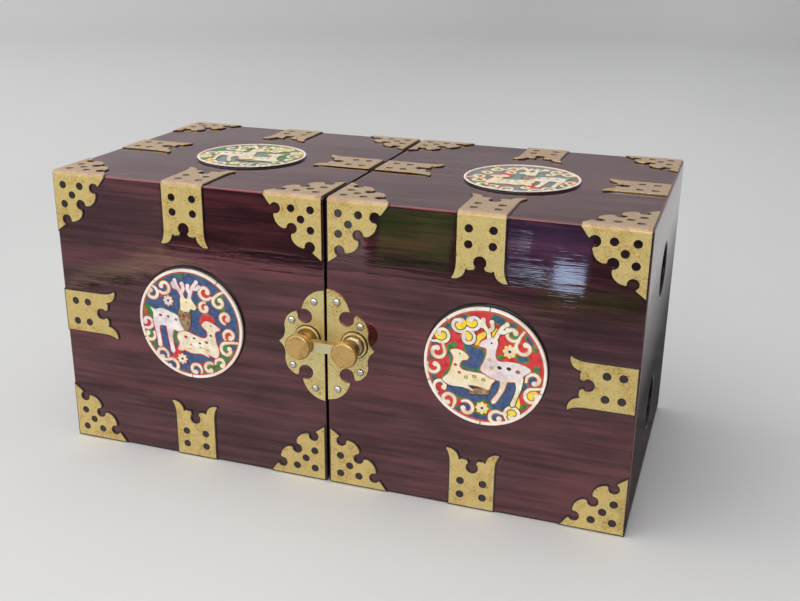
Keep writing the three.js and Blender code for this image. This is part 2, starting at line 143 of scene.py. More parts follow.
# %% Signals
class Signal:
    """One output of a shader node, with the operators that shader maths needs."""

    def __init__(self, finish, socket):
        self.finish = finish
        self.socket = socket

    def maths(self, operation, first, second, clamp=False):
        settings = {"operation": operation, "use_clamp": clamp}
        return self.finish.node("Math", settings, {0: first, 1: second})

    def __add__(self, other):
        return self.maths("ADD", self, other)

    def __sub__(self, other):
        return self.maths("SUBTRACT", self, other)

    def __rsub__(self, other):
        return self.maths("SUBTRACT", other, self)

    def __mul__(self, other):
        return self.maths("MULTIPLY", self, other)

    def __gt__(self, other):
        return self.maths("GREATER_THAN", self, other)

    def held(self):
        """The same signal, kept between 0 and 1."""
        return self.maths("ADD", self, 0.0, clamp=True)

    __radd__ = __add__
    __rmul__ = __mul__


print("signals add, subtract, multiply and compare")

# %% [markdown]
# A `Finish` is one material in the making. Its `node` method adds any kind of node from a type,
# settings and socket values or links, and the others are short names for the nodes used most.

# %% Finishes
class Finish:
    """A material in the making. Values that are the same all over go straight to the shader."""

    def __init__(self, name, **shader_values):
        self.material = bpy.data.materials.new(name)
        self.material.use_nodes = True
        self.tree = self.material.node_tree
        self.shader = self.tree.nodes["Principled BSDF"]
        self.place = self.node("TexCoord", output="Object")
        for socket, value in shader_values.items():
            self.feed(socket.replace("_", " ").title().replace("Ior", "IOR"), value)

    def node(self, kind, settings=None, sockets=None, output=0):
        """Adds any node: its type, its settings, the values or links of its sockets, its output."""
        made = self.tree.nodes.new("ShaderNode" + kind)
        for setting, value in (settings or {}).items():
            if setting == "stops":
                self.set_stops(made.color_ramp, value)
            else:
                setattr(made, setting, value)
        for socket, value in (sockets or {}).items():
            self.plug(made.inputs[socket], value)
        return Signal(self, made.outputs[output])

    def set_stops(self, ramp, stops):
        while len(ramp.elements) < len(stops):
            ramp.elements.new(1)
        for element, (position, colour) in zip(ramp.elements, stops):
            element.position = position
            element.color = (*colour, 1)

    def plug(self, socket, value):
        if isinstance(value, Signal):
            self.tree.links.new(value.socket, socket)
        elif isinstance(value, tuple) and len(value) == 3 and socket.type == "RGBA":
            socket.default_value = (*value, 1)
        else:
            socket.default_value = value

    def feed(self, socket, value):
        """Sets or links one socket of the shader itself."""
        self.plug(self.shader.inputs[socket], value)

    def stretched(self, x, y, z):
        """The piece's own coordinates, multiplied along each axis."""
        return self.node("VectorMath", {"operation": "MULTIPLY"}, {0: self.place, 1: (x, y, z)})

    def noise(self, place, scale, detail=3.0, roughness=0.55):
        return self.node("TexNoise", {}, {
            "Vector": place,
            "Scale": scale,
            "Detail": detail,
            "Roughness": roughness,
        })

    def ramp(self, signal, *stops):
        return self.node("ValToRGB", {"stops": stops}, {"Fac": signal})

    def between(self, factor, first, second):
        """A mix of two colours."""
        return self.node("Mix", {"data_type": "RGBA"}, {0: factor, 6: first, 7: second}, output=2)

    def relief(self, height, strength, distance):
        """Feeds the shader's Normal from a height, with its distance in metres."""
        sockets = {"Height": height, "Strength": strength, "Distance": distance}
        self.feed("Normal", self.node("Bump", {}, sockets))


def level(grey, warm=0.0):
    """A plain grey, a little warmer or cooler."""
    return (grey * (1 + warm), grey, grey * (1 - warm))


BLACK, WHITE = level(0.0), level(1.0)
print("tools for finishes are ready")

# %% [markdown]
# ## Lacquered wood
# The case is red-brown wood with a straight streaky grain, under many coats of dark lacquer that were
# rubbed to a mirror. The streaks run along the chest on its front and top, and from front to back on
# its ends. Noise that is stretched along the grain gives them, in three sizes: wide bands, streaks and
# fine pores. The lacquer itself is nearly black, and its mirror is strong and tinted red. Where the
# coats soaked in along the grain, `soaked` takes a part of that mirror away. A ripple so faint that
# only long reflections show it lies over all. Lacquer that has pooled is thick, dark and even, and the
# same near-black finish is also laid on as painted shade: on the case's lowest edges, in its finger
# holes and in the fillets round the roundels.

# %% Lacquered wood
def lacquered_wood(name, dark, middle, bright, ripple, soaked=0.0, **shader_values):
    finish = Finish(name, **shader_values)
    facing = finish.node("SeparateXYZ", {}, {0: finish.node("TexCoord", output="Normal")})
    is_end = finish.node("Math", {"operation": "ABSOLUTE"}, {0: facing}) > 0.7

    def grain(along, across):
        lengthwise = finish.stretched(along, across, across)
        end = finish.stretched(across, along, across)
        sockets = {0: is_end, 4: lengthwise, 5: end}
        return finish.noise(finish.node("Mix", {"data_type": "VECTOR"}, sockets, output=1), 1.0)

    clouds = finish.noise(finish.stretched(9, 16, 16), 1.0, detail=4.0)
    bands = grain(5, 60)
    streaks = grain(18, 320)
    pores = grain(60, 1700)
    tone = (clouds * 0.34 + bands * 0.28 + streaks * 0.3 + pores * 0.14).held()
    finish.feed("Base Color", finish.ramp(tone, (0.42, dark), (0.53, middle), (0.65, bright)))
    if soaked:
        dull = clouds * 0.24 + bands * 0.2 + streaks * 0.32 + grain(24, 620) * 0.24
        taken = finish.ramp(dull, (0.4, level(soaked)), (0.54, BLACK))
        finish.feed("Metallic", taken * (1 - is_end))
    finish.relief(streaks * 0.6 + grain(34, 720) * 0.22, ripple, 0.0003)
    return finish.material


case_lacquer = lacquered_wood(
    "case_lacquer",
    dark=(0.004, 0.002, 0.003),
    middle=(0.022, 0.006, 0.008),
    bright=(0.088, 0.018, 0.023),
    roughness=0.035,
    ripple=0.26,
    soaked=0.38,
    ior=2.3,
    specular_tint=(1.0, 0.58, 0.64),
)
rubbed_lacquer = lacquered_wood(
    "rubbed_lacquer",
    dark=(0.05, 0.004, 0.006),
    middle=(0.17, 0.01, 0.014),
    bright=(0.3, 0.025, 0.03),
    roughness=0.1,
    ripple=0.05,
    ior=1.5,
    coat_weight=0.4,
    coat_ior=1.7,
)
inside_lacquer = lacquered_wood(
    "inside_lacquer",
    dark=(0.03, 0.011, 0.008),
    middle=(0.06, 0.022, 0.015),
    bright=(0.1, 0.036, 0.024),
    roughness=0.42,
    ripple=0.25,
)


def thick_lacquer(name, mottle, dark, bright, **shader_values):
    finish = Finish(name, **shader_values)
    clouds = finish.noise(finish.place, mottle)
    finish.feed("Base Color", finish.ramp(clouds, (0.35, dark), (0.7, bright)))
    return finish.material


# near-black pooled lacquer, also used as painted shade on the lowest edges, the bores and the roundel
# fillets
pooled_lacquer_and_shade = thick_lacquer(
    "pooled_lacquer_and_shade", 420.0, (0.004, 0.003, 0.003), (0.016, 0.008, 0.009), roughness=0.09, ior=1.36,
)
bead_lacquer = thick_lacquer(
    "bead_lacquer", 300.0, (0.005, 0.002, 0.003), (0.03, 0.01, 0.013), roughness=0.06, ior=1.75,
)
print("lacquers:", case_lacquer.name, rubbed_lacquer.name, inside_lacquer.name, pooled_lacquer_and_shade.name)

# %% [markdown]
# ## Brass
# The leaves are sheet brass that was brushed, pierced and left to age under the lacquer: pale yellow
# gold, with brownish blooms where fine dark specks crowd together, and brighter where the edges were
# filed. The faces that look up are painted tan, a painted reflection that stands in for the paler sheen
# they show. The sloping faces of each fold are painted darker, a painted shade that dulls the highlight
# along the bend. One recipe serves every brass piece: a soft mask mixes in the bloom, a fine one gathers
# the specks inside it, and noise stretched across the sheet scratches it. `wear` scales the specks and
# the relief, down to almost nothing on the polished arm. The filed edge is its own material on the faces
# of the bevel.

# %% Brass
PIT = (0.34, 0.19, 0.06)
DEEP_PIT = (0.05, 0.03, 0.015)
GREY_PIT = (0.2, 0.18, 0.15)
PAINTED_TOP_TINT = (0.74, 0.53, 0.4)
PAINTED_FOLD_SHADE = (0.2, 0.12, 0.07)


def aged_brass(name, metal, bloom, bloom_share, roughness, painted_tint_share=0.0, wear=1.0, pit=PIT):
    finish = Finish(name, metallic=1.0)
    blooms = finish.noise(finish.place, 110.0, detail=5.0, roughness=0.7)
    specks = finish.noise(finish.place, 1500.0, detail=2.0, roughness=0.6)
    drift = finish.noise(finish.place, 340.0, detail=3.0)
    brushed = finish.noise(finish.stretched(300, 300, 3000), 1.0, detail=2.0)
    share = finish.ramp(blooms, (0.46, BLACK), (0.66, WHITE)) * bloom_share
    crowd = finish.ramp(specks, (0.53, BLACK), (0.62, WHITE)) * 0.85
    depth = (crowd * (0.3 + share) * wear).held()
    aged = finish.between((share * 0.75 + drift * 0.3 - 0.1).held(), metal, bloom)
    up = finish.node("SeparateXYZ", {}, {0: finish.node("TexCoord", output="Normal")}, output=2)
    # painted reflection: faces that look up are tinted tan for the paler sheen they show
    painted_top_tint = finish.node("MapRange", {}, {0: up, 1: 0.05, 2: 0.5, 3: 0.0, 4: painted_tint_share})
    sloping = finish.ramp(up, (0.1, BLACK), (0.3, WHITE), (0.9, WHITE), (0.985, BLACK))
    bent = (sloping * painted_tint_share).held()
    sheet = finish.between(painted_top_tint, aged, PAINTED_TOP_TINT)
    # painted shade: the sloping faces of a fold are darkened to dull the highlight along the bend
    fold_shaded = finish.between(bent * 0.6, sheet, PAINTED_FOLD_SHADE)
    finish.feed("Base Color", finish.between(depth, fold_shaded, pit))
    rough = roughness + 0.1 * share + 0.1 * brushed + 0.15 * depth + 0.1 * bent
    finish.feed("Roughness", rough.held())
    finish.relief(brushed * 0.4 + drift * 0.4 - depth * 1.3, 0.5 * wear, 0.00022)
    return finish.material


leaf_brass = aged_brass("leaf_brass", (1.0, 0.79, 0.33), (0.7, 0.48, 0.17), 0.85, 0.36, painted_tint_share=0.85)
filed_brass = aged_brass("filed_brass", (0.98, 0.82, 0.45), (0.7, 0.5, 0.25), 0.3, 0.28, painted_tint_share=0.5)
plate_brass = aged_brass("plate_brass", (1.0, 0.87, 0.42), (0.76, 0.55, 0.22), 0.8, 0.32)
latch_brass = aged_brass("latch_brass", (1.0, 0.93, 0.6), (0.9, 0.74, 0.4), 0.3, 0.2, wear=0.2)
shaded_brass = aged_brass("shaded_brass", (0.36, 0.24, 0.09), (0.2, 0.12, 0.05), 0.5, 0.3)
knob_brass = aged_brass("knob_brass", (0.96, 0.64, 0.25), (0.5, 0.27, 0.09), 0.9, 0.24, wear=0.5)
worn_shank = aged_brass("worn_shank", (0.9, 0.82, 0.62), (0.3, 0.2, 0.1), 1.2, 0.3, pit=DEEP_PIT)
nail_steel = aged_brass("nail_steel", (0.86, 0.86, 0.84), (0.55, 0.52, 0.47), 0.35, 0.14, pit=GREY_PIT)
print("brasses:", leaf_brass.name, filed_brass.name, latch_brass.name, knob_brass.name)

# %% [markdown]
# ## Outlines
# Every flat piece starts as an outline of points in millimetres. Arcs, mirrored copies and corners
# rounded by a small radius are enough for leaves, plates and painted shapes alike.

# %% Outline helpers
def arc(a, b, radius, start, end, steps):
    """Points on an arc, between two angles in degrees."""
    turns = [math.radians(start + (end - start) * i / steps) for i in range(steps + 1)]
    return [(a + radius * math.cos(turn), b + radius * math.sin(turn)) for turn in turns]


def ring(a, b, radius, steps=24):
    return arc(a, b, radius, 0, 360, steps)[:-1]


def swapped(points):
    """Mirrored in the diagonal, and in the other order."""
    return [(b, a) for a, b in reversed(points)]


def flipped(points):
    """Mirrored left to right, and in the other order."""
    return [(-a, b) for a, b in reversed(points)]


def flowing(points, steps=5, closed=False):
    """A smooth curve through all the points (a Catmull-Rom spline)."""
    count = len(points)
    curve = []
    for i in range(count if closed else count - 1):
        near = [k % count if closed else min(max(k, 0), count - 1) for k in range(i - 1, i + 3)]
        before, start, end, after = [Vector(points[k]) for k in near]
        for step in range(steps):
            t = step / steps
            point = 0.5 * (
                2 * start
                + (end - before) * t
                + (2 * before - 5 * start + 4 * end - after) * t * t
                + (3 * start - before - 3 * end + after) * t * t * t
            )
            curve.append(tuple(point))
    return curve if closed else curve + [tuple(points[-1])]


def blob(points, steps=4):
    """A smooth closed outline through a handful of points."""
    return flowing(points, steps, closed=True)


def eased(points, radius, steps=3, closed=True):
    """The same outline or profile with its corners rounded, as far as its sides are long enough."""
    count = len(points)
    result = []
    for i, corner in enumerate(points):
        if not closed and i in (0, count - 1):
            result.append(tuple(corner))
            continue
        here = Vector(corner)
        to_last = Vector(points[i - 1]) - here
        to_next = Vector(points[(i + 1) % count]) - here
        reach = min(radius, to_last.length * 0.45, to_next.length * 0.45)
        start = here + to_last.normalized() * reach
        end = here + to_next.normalized() * reach
        for step in range(steps + 1):
            t = step / steps
            result.append(tuple((1 - t) ** 2 * start + 2 * t * (1 - t) * here + t * t * end))
    return result


print("a ring of", len(ring(0, 0, 1)), "points")

# %% [markdown]
# ## Plates and turned forms
# Two kinds of making cover nearly all the metalwork. A plate is an outline that is filled, thickened
# and softened along its upper edge. A turned form is a profile swept round an axis, as on a lathe. Both
# are made flat in their own frame and then carried to the chest by a placing function, which may also
# bend them.

# %% Plates and turned forms
def outward(mesh):
    """Turns all faces of a closed mesh round when they face inwards."""
    if mesh.calc_volume(signed=True) < 0:
        bmesh.ops.reverse_faces(mesh, faces=mesh.faces[:])
    return mesh


def closed(mesh):
    """A single closed form with its faces turned one way, and that way outwards."""
    bmesh.ops.recalc_face_normals(mesh, faces=mesh.faces[:])
    return outward(mesh)


def plate(outline, holes=(), thickness=BRASS, softening=0.18, folds=(), paint=0, rim_paint=1, cuts=2):
    """A closed plate: a and b across it, c from 0 up to its thickness."""
    loops = [[Vector((a, b, 0)) for a, b in loop] for loop in [outline, *holes]]
    mesh = bmesh.new()
    verts = [mesh.verts.new(point) for loop in loops for point in loop]
    for triangle in tessellate_polygon(loops):
        mesh.faces.new([verts[i] for i in triangle]).material_index = paint
    for fold in folds:
        everything = mesh.verts[:] + mesh.edges[:] + mesh.faces[:]
        bmesh.ops.bisect_plane(mesh, geom=everything, plane_co=(0, fold, 0), plane_no=(0, 1, 0), dist=1e-4)
    raised = bmesh.ops.extrude_face_region(mesh, geom=mesh.faces[:], use_keep_orig=True)["geom"]
    for part in raised:
        if isinstance(part, bmesh.types.BMVert):
            part.co.z = thickness
    mesh.normal_update()
    if softening:
        rim = [
            edge for edge in mesh.edges
            if all(abs(vert.co.z - thickness) < 1e-6 for vert in edge.verts)
            and any(abs(face.normal.z) < 0.5 for face in edge.link_faces)
        ]
        bmesh.ops.bevel(
            mesh, geom=rim, offset=softening, segments=cuts, profile=0.5,
            affect="EDGES", material=rim_paint, clamp_overlap=True,
        )
    return closed(mesh)


def turned(profile, steps=48):
    """A lathe-turned form: (radius, along) points, from one end of its axis to the other."""
    mesh = bmesh.new()
    rings = []
    for radius, along in profile:
        count = steps if radius > 1e-6 else 1
        angles = [2 * math.pi * i / steps for i in range(count)]
        rings.append([mesh.verts.new((radius * math.cos(t), radius * math.sin(t), along)) for t in angles])
    for lower, upper in zip(rings, rings[1:]):
        for i in range(steps):
            j = (i + 1) % steps
            around = [(lower, i), (lower, j), (upper, j), (upper, i)]
            corners = list(dict.fromkeys(circle[k % len(circle)] for circle, k in around))
            if len(corners) > 2:
                mesh.faces.new(corners)
    return closed(mesh)


def carried(mesh, place):
    """Moves every vertex of a mesh by a placing function."""
    for vert in mesh.verts:
        vert.co = place(*vert.co)
    return outward(mesh)


def finished(name, mesh):
    """The working mesh as mesh data under a name."""
    data = bpy.data.meshes.new(name)
    mesh.to_mesh(data)
    mesh.free()
    return data


def gathered(parts):
    """One mesh out of several."""
    whole = bmesh.new()
    for part in parts:
        step = finished("step", part)
        whole.from_mesh(step)
        bpy.data.meshes.remove(step)
    return whole


def painted(mesh, index):
    """Gives all faces of a mesh one of its piece's materials."""
    for face in mesh.faces:
        face.material_index = index
    return mesh


print("plates and turned forms are ready")

# %% [markdown]
# A piece is a finished mesh with a name. It rides on its body, and the CAD nodes it stands for are
# hidden. Sharp edges stay sharp from `CREASE` degrees on, and large flat faces keep their own normals.

# %% Pieces
triangles = {}
CREASE = 38
BODIES = {"left": "left_half", "right": "right_half"}


def piece(name, mesh, finishes, body, nodes=()):
    """Makes a piece of the chest: named, finished, riding on its body, standing for its nodes."""
    data = finished(name, mesh)
    data.shade_smooth()
    data.set_sharp_from_angle(angle=math.radians(CREASE))
    for finish in finishes:
        data.materials.append(finish)
    made = in_scene(name, data)
    flat_faces = made.modifiers.new("flat faces stay flat", "WEIGHTED_NORMAL")
    flat_faces.keep_sharp = True
    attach(made, body)
    if nodes:
        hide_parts(*nodes)
    triangles[name] = sum(len(face.vertices) - 2 for face in data.polygons)


print("pieces ride on", sorted(BODIES.values()))

# %% [markdown]
# ## The stage
# A table top and a wall would show a line where they meet, so the chest stands in a round cove: a flat
# pale floor that curves up into a pale wall on every side. A large soft light hangs to the left of the
# camera, a small one beside it and a wide one overhead, as in a bright room.

# %% Cove and lights
COVE_FLOOR = 2300
COVE_CURVE = 900
COVE_WALL = 2600

cove_profile = [(0, 0), (600, 0), (1500, 0)]
cove_profile += arc(COVE_FLOOR, COVE_CURVE, COVE_CURVE, -90, 0, 12)
cove_profile += [(COVE_FLOOR + COVE_CURVE, COVE_WALL)]
cove_mesh = carried(turned(cove_profile, 96), lambda x, y, z: Vector((x, y, z)) * MM)
cove_finish = Finish("pale_cove", roughness=0.85, specular_ior_level=0.15)
cloudy = cove_finish.noise(cove_finish.place, 2.2, detail=2.0)
specks = cove_finish.noise(cove_finish.place, 900.0, detail=2.0)
mottle = (cloudy * 0.6 + specks * 0.4).held()
# painted light: the cove is painted paler on the left and darker to the right, as the window light falls
# off
across = cove_finish.node("SeparateXYZ", {}, {0: cove_finish.place})
painted_light_falloff = cove_finish.node("MapRange", {}, {0: across, 1: -2.6, 2: 1.6})
cove_finish.feed("Base Color", cove_finish.ramp(
    (mottle * 0.12 + painted_light_falloff * 0.94).held(),
    (0.06, level(0.83, 0.012)),
    (0.54, level(0.615, 0.016)),
    (0.65, level(0.66, 0.016)),
    (0.75, level(0.59, 0.016)),
    (1.0, level(0.61, 0.01)),
))
cove_data = finished("cove", cove_mesh)
cove_data.shade_smooth()
cove_data.materials.append(cove_finish.material)
in_scene("cove", cove_data)


def soft_light(name, place, towards, size, watts, tint):
    """A square soft light that faces a point, both in chest millimetres."""
    data = bpy.data.lights.new(name, "AREA")
    data.size = size
    data.energy = watts
    data.color = tint
    light = in_scene(name, data)
    light.location = spot(*place)
    light.rotation_euler = (spot(*towards) - light.location).to_track_quat("-Z", "Y").to_euler()


soft_light("window_light", (-1500, -800, 1500), (0, 74, 60), 2.8, 33, (1.0, 0.985, 0.96))
soft_light("front_light", (150, -1300, 700), (40, 0, 40), 0.9, 7.0, (1.0, 0.98, 0.95))
soft_light("ceiling_light", (-300, 300, 2300), (-100, 200, 0), 2.4, 15, (0.97, 0.985, 1.0))
print("lights:", [light.name for light in bpy.data.lights])

# %% [markdown]
# Lacquer shows what is around it, so cards lie on the floor for the dim end of that room, a table edge
# and coloured window panes. Each lies where the camera's line meets the floor after it bounces off the
# chest's front or its end. Only mirror reflections see them. `ROOM` gives each card's height, corners,
# darker and brighter tone, and how it fades.

# %% Reflected room
def reflected_patch(name, height, corners, dark, bright, fade=None):
    """A glowing card that only mirrors see. It may fade along an axis, between two places, from a grey."""
    mesh = bmesh.new()
    mesh.faces.new([mesh.verts.new(spot(x, y, height)) for x, y in corners])
    data = finished(name, mesh)
    finish = Finish(name, base_color=(0.0, 0.0, 0.0), roughness=1.0, emission_strength=1.0)
    drift = finish.noise(finish.place, 26.0, detail=4.0, roughness=0.65)
    colour = finish.ramp(drift, (0.35, dark), (0.65, bright))
    if fade:
        axis, start, end, grey = fade
        along = finish.node("SeparateXYZ", {}, {0: finish.place}, output=axis)
        limits = {1: spot(start, start, 0)[axis], 2: spot(end, end, 0)[axis]}
        colour = finish.between(finish.node("MapRange", {}, {0: along, **limits}), level(grey), colour)
    finish.feed("Emission Color", colour)
    data.materials.append(finish.material)
    patch = in_scene(name, data)
    patch.visible_camera = patch.visible_diffuse = patch.visible_shadow = False
    patch.visible_transmission = patch.visible_volume_scatter = False


DIM, DIMMER = (0.02, 0.018, 0.02), (0.07, 0.06, 0.065)
ROOM = {
    "dim_side": (
        2, [(20, -120), (900, -120), (900, -1500), (-647, -1500), (-110, -345), (40, -285), (75, -255)],
        DIM, DIMMER, (1, -130, -380, 0.5),
    ),
    "left_floor": (
        1, [(0, -1), (-600, -1), (-600, -215), (-250, -215), (-285, -309), (-133, -309)],
        level(0.4, 0.05), level(0.54, 0.05),
    ),
    "right_floor": (
        1, [(0, -1), (400, -1), (400, -345), (-148, -345)], level(0.4, 0.05), level(0.5, 0.05),
    ),
    "end_shade": (
        2, [(151.5, -40), (178, -40), (178, 620), (151.5, 620)],
        level(0.03), level(0.06), (0, 180, 161, 0.46),
    ),
    "left_room": (
        2, [(-250, -215), (-1500, -215), (-1500, -1500), (-1100, -1500), (-443, -558), (-285, -309)],
        level(0.26), level(0.46), (1, -215, -320, 0.48),
    ),
    "dim_room": (
        3, [(-285, -309), (-133, -309), (-647, -1500), (-1100, -1500), (-443, -558)], DIM, DIMMER,
    ),
    "table_shadow": (
        3, [(-297, -190), (-304, -203), (-253, -266), (-206, -257), (-203, -244), (-248, -252)],
        DIM, DIMMER,
    ),
    "table_edge": (
        3,
        [(-302, -200), (-319, -222), (-291, -313), (-253, -286), (-211, -268), (-204, -255), (-252, -264)],
        (0.62, 0.7, 0.46), (0.95, 1.1, 0.74),
    ),
    "green_glass": (
        3, [(-105, -352), (-74, -360), (-41, -350), (-90, -545), (-172, -545)],
        (0.07, 0.22, 0.03), (0.17, 0.5, 0.1),
    ),
    "violet_glass": (
        3, [(1, -375), (73, -375), (50, -545), (-36, -545)], (0.07, 0.07, 0.22), (0.24, 0.26, 0.62),
    ),
    "wide_window": (
        3, [(46, -341), (58, -333), (75, -342), (71, -362), (66, -391), (47, -396), (41, -380), (48, -362)],
        (0.6, 1.3, 1.9), (3.3, 7.0, 8.8),
    ),
    "low_window": (
        3, [(8, -352), (30, -349), (48, -353), (42, -366), (20, -374), (6, -368)],
        (0.25, 0.6, 0.8), (2.3, 5.0, 6.2),
    ),
    "small_window": (
        3, [(-8, -435), (8, -432), (10, -440), (4, -462), (-15, -458)], (0.3, 0.7, 0.9), (2.3, 4.8, 5.4),
    ),
    "olive_glass": (
        3, [(50, -278), (90, -286), (128, -284), (120, -333), (41, -331)],
        (0.06, 0.12, 0.03), (0.2, 0.36, 0.09),
    ),
    "lamp": (
        1150, [(-560, -1000), (-320, -1000), (-320, -800), (-560, -800)], level(5.0), level(7.0),
    ),
}
for name, card in ROOM.items():
    reflected_patch(name, *card)

world = bpy.data.worlds.new("room")
world.use_nodes = True
sky = world.node_tree.nodes["Background"].inputs
sky["Color"].default_value = (0.9, 0.95, 1.0, 1)
sky["Strength"].default_value = 0.56
bpy.context.scene.world = world
bpy.context.scene.view_settings.view_transform = "Standard"
print("cards:", list(ROOM))

# %% [markdown]
# ## The two halves of the case
# Each half is a hollow wooden box whose side towards the split is open. It could be five boards butted
# together, but the lacquer hides every joint, so one shell is truer: an outer box, an inner box, a rim
# between them, the outer edges rounded, and two finger holes bored through the end. The lowest edges and
# the bores of the holes are painted near black as shade, and the lacquer was rubbed thin on the upper
# edges.

# %% Boxes and bores
HOLE_RADIUS = 14
HOLE_HEIGHTS = (37, HEIGHT - 40)
HOLE_EASE = 1.1
RIM_EASE = 0.35
OUTSIDE, INSIDE, RUBBED, PAINTED_SHADE = range(4)


def open_box(mesh, low, high):
    """Five quads of a box, without the one at the split, and its corners by their signs."""
    keys = [(i, j, k) for i in (0, 1) for j in (0, 1) for k in (0, 1)]
    ends = low, high
    corners = {key: mesh.verts.new([ends[end][axis] for axis, end in enumerate(key)]) for key in keys}
    quads = [
        [(1, 0, 0), (1, 1, 0), (1, 1, 1), (1, 0, 1)],
        [(0, 0, 0), (1, 0, 0), (1, 0, 1), (0, 0, 1)],
        [(0, 1, 0), (1, 1, 0), (1, 1, 1), (0, 1, 1)],
        [(0, 0, 0), (1, 0, 0), (1, 1, 0), (0, 1, 0)],
        [(0, 0, 1), (1, 0, 1), (1, 1, 1), (0, 1, 1)],
    ]
    for quad in quads:
        mesh.faces.new([corners[key] for key in quad])
    return corners


def bored(mesh, radius, centres, start, end):
    """The mesh with round holes along its first axis, cut by a Boolean modifier."""
    host = in_scene("bored", finished("bored", mesh))
    drills = gathered([
        carried(
            turned([(0, start), (radius, start), (radius, end), (0, end)], 64),
            lambda a, b, along, y=y, z=z: Vector((along, y + a, z + b)),
        )
        for y, z in centres
    ])
    drill = in_scene("drills", finished("drills", drills))
    boring = host.modifiers.new("boring", "BOOLEAN")
    boring.object = drill
    boring.operation = "DIFFERENCE"
    boring.solver = "EXACT"
    bpy.context.view_layer.update()
    cut = bpy.data.meshes.new_from_object(host.evaluated_get(bpy.context.evaluated_depsgraph_get()))
    result = bmesh.new()
    result.from_mesh(cut)
    for temporary in (host, drill):
        bpy.data.objects.remove(temporary)
    return result


print("a finger hole is", 2 * HOLE_RADIUS, "mm wide")

# %% The two halves
def case_half(name, side):
    mesh = bmesh.new()
    outer = open_box(mesh, (0, 0, 0), (HALF, DEPTH, HEIGHT))
    inner = open_box(mesh, (0, WALL, WALL), (HALF - WALL, DEPTH - WALL, HEIGHT - WALL))
    turn = [(0, 0, 0), (0, 1, 0), (0, 1, 1), (0, 0, 1)]
    for here, after in zip(turn, turn[1:] + turn[:1]):
        mesh.faces.new([outer[here], outer[after], inner[after], inner[here]])
    closed(mesh)

    walls = set(outer.values())
    long_edges = [
        edge for edge in mesh.edges
        if walls.issuperset(edge.verts) and any(vert.co.x > 1 for vert in edge.verts)
    ]
    bmesh.ops.bevel(
        mesh, geom=long_edges, offset=EDGE, segments=5, profile=0.5, affect="EDGES", material=RUBBED,
    )
    # painted shade: the rounded lowest edges take the near-black finish as a contact shade
    for face in mesh.faces:
        heights = [vert.co.z for vert in face.verts]
        if face.material_index == RUBBED and min(heights) < HEIGHT - 2 * EDGE:
            face.material_index = PAINTED_SHADE if max(heights) < EDGE + 0.01 else OUTSIDE

    def on_outer_rim(vert):
        x, y, z = vert.co
        inside = WALL - 1 < y < DEPTH - WALL + 1 and WALL - 1 < z < HEIGHT - WALL + 1
        return abs(x) < 1e-4 and not inside

    split_edges = [
        edge for edge in mesh.edges
        if all(on_outer_rim(vert) for vert in edge.verts)
        and any(abs(face.normal.x) < 0.1 for face in edge.link_faces)
    ]
    bmesh.ops.bevel(mesh, geom=split_edges, offset=RIM_EASE, segments=2, profile=0.5, affect="EDGES")

    centres = [(DEPTH / 2, height) for height in HOLE_HEIGHTS]
    mesh = bored(mesh, HOLE_RADIUS, centres, HALF - 2 * WALL, HALF + WALL)

    def on_hole(vert):
        reaches = [math.hypot(vert.co.y - y, vert.co.z - z) for y, z in centres]
        at_face = min(abs(vert.co.x - HALF), abs(vert.co.x - HALF + WALL)) < 1e-3
        return at_face and min(abs(reach - HOLE_RADIUS) for reach in reaches) < 0.02

    mouths = [edge for edge in mesh.edges if all(on_hole(vert) for vert in edge.verts)]
    bmesh.ops.bevel(mesh, geom=mouths, offset=HOLE_EASE, segments=4, profile=0.5, affect="EDGES")
    # painted shade: the bores of the finger holes take the near-black finish
    for face in mesh.faces:
        x, y, z = face.calc_center_median()
        within = WALL - 0.01 < y < DEPTH - WALL + 0.01 and WALL - 0.01 < z < HEIGHT - WALL + 0.01
        if within and x < HALF - WALL + 0.01:
            face.material_index = INSIDE
        elif within and x < HALF - 0.01:
            face.material_index = PAINTED_SHADE
    carried(mesh, lambda out, y, z: spot(from_split(side, out), y, z))
    boards = [f"{name}_{board}_board" for board in ("front", "back", "bottom", "top", "end")]
    coats = [case_lacquer, inside_lacquer, rubbed_lacquer, pooled_lacquer_and_shade]
    piece(f"{name}_case", mesh, coats, BODIES[name], boards)


for name, side in SIDES.items():
    case_half(name, side)
print("cases:", {name: count for name, count in triangles.items() if "case" in name})

# %% [markdown]
# ## Brass leaves
# The leaves are fretted from sheet: a corner leaf with round bites and four holes, and a strap leaf
# that flares to a forked end with a keyhole in it. Those on the top edge are one piece of sheet folded
# over it. Here each is cut flat, creased with close lines where it folds, thickened, softened, and
# then bent round the edge by its placing function.

# %% Leaf outlines
MARGIN = 1
HOLE = 2
LEG = 29.8
BITE = 2.75


def corner_leaf():
    leg = [(LEG, 0)] + flowing([(28.9, 1.2), (27.6, 3), (26.6, 4.3)], 3)
    leg += arc(23.7, 5.9, BITE, -30, -280, 16)
    leg += flowing(
        [(24.6, 9.4), (24.1, 11.2), (23.4, 12.8), (21.8, 14.5), (20.3, 15.3), (19, 15.5), (18.2, 15.3)], 3,
    )
    middle = arc(15.2, 15.2, BITE, 0, -270, 18)
    holes = [ring(a, b, HOLE) for a, b in ((5.4, 5.4), (15.4, 5.4), (5.4, 15.4), (10.4, 10.4))]
    return {"path": leg + middle + swapped(leg), "holes": holes, "root": (0, LEG)}


STRAP_HALF = 11.2
STRAP_LENGTH = 30.4
KEYHOLE = 3.1


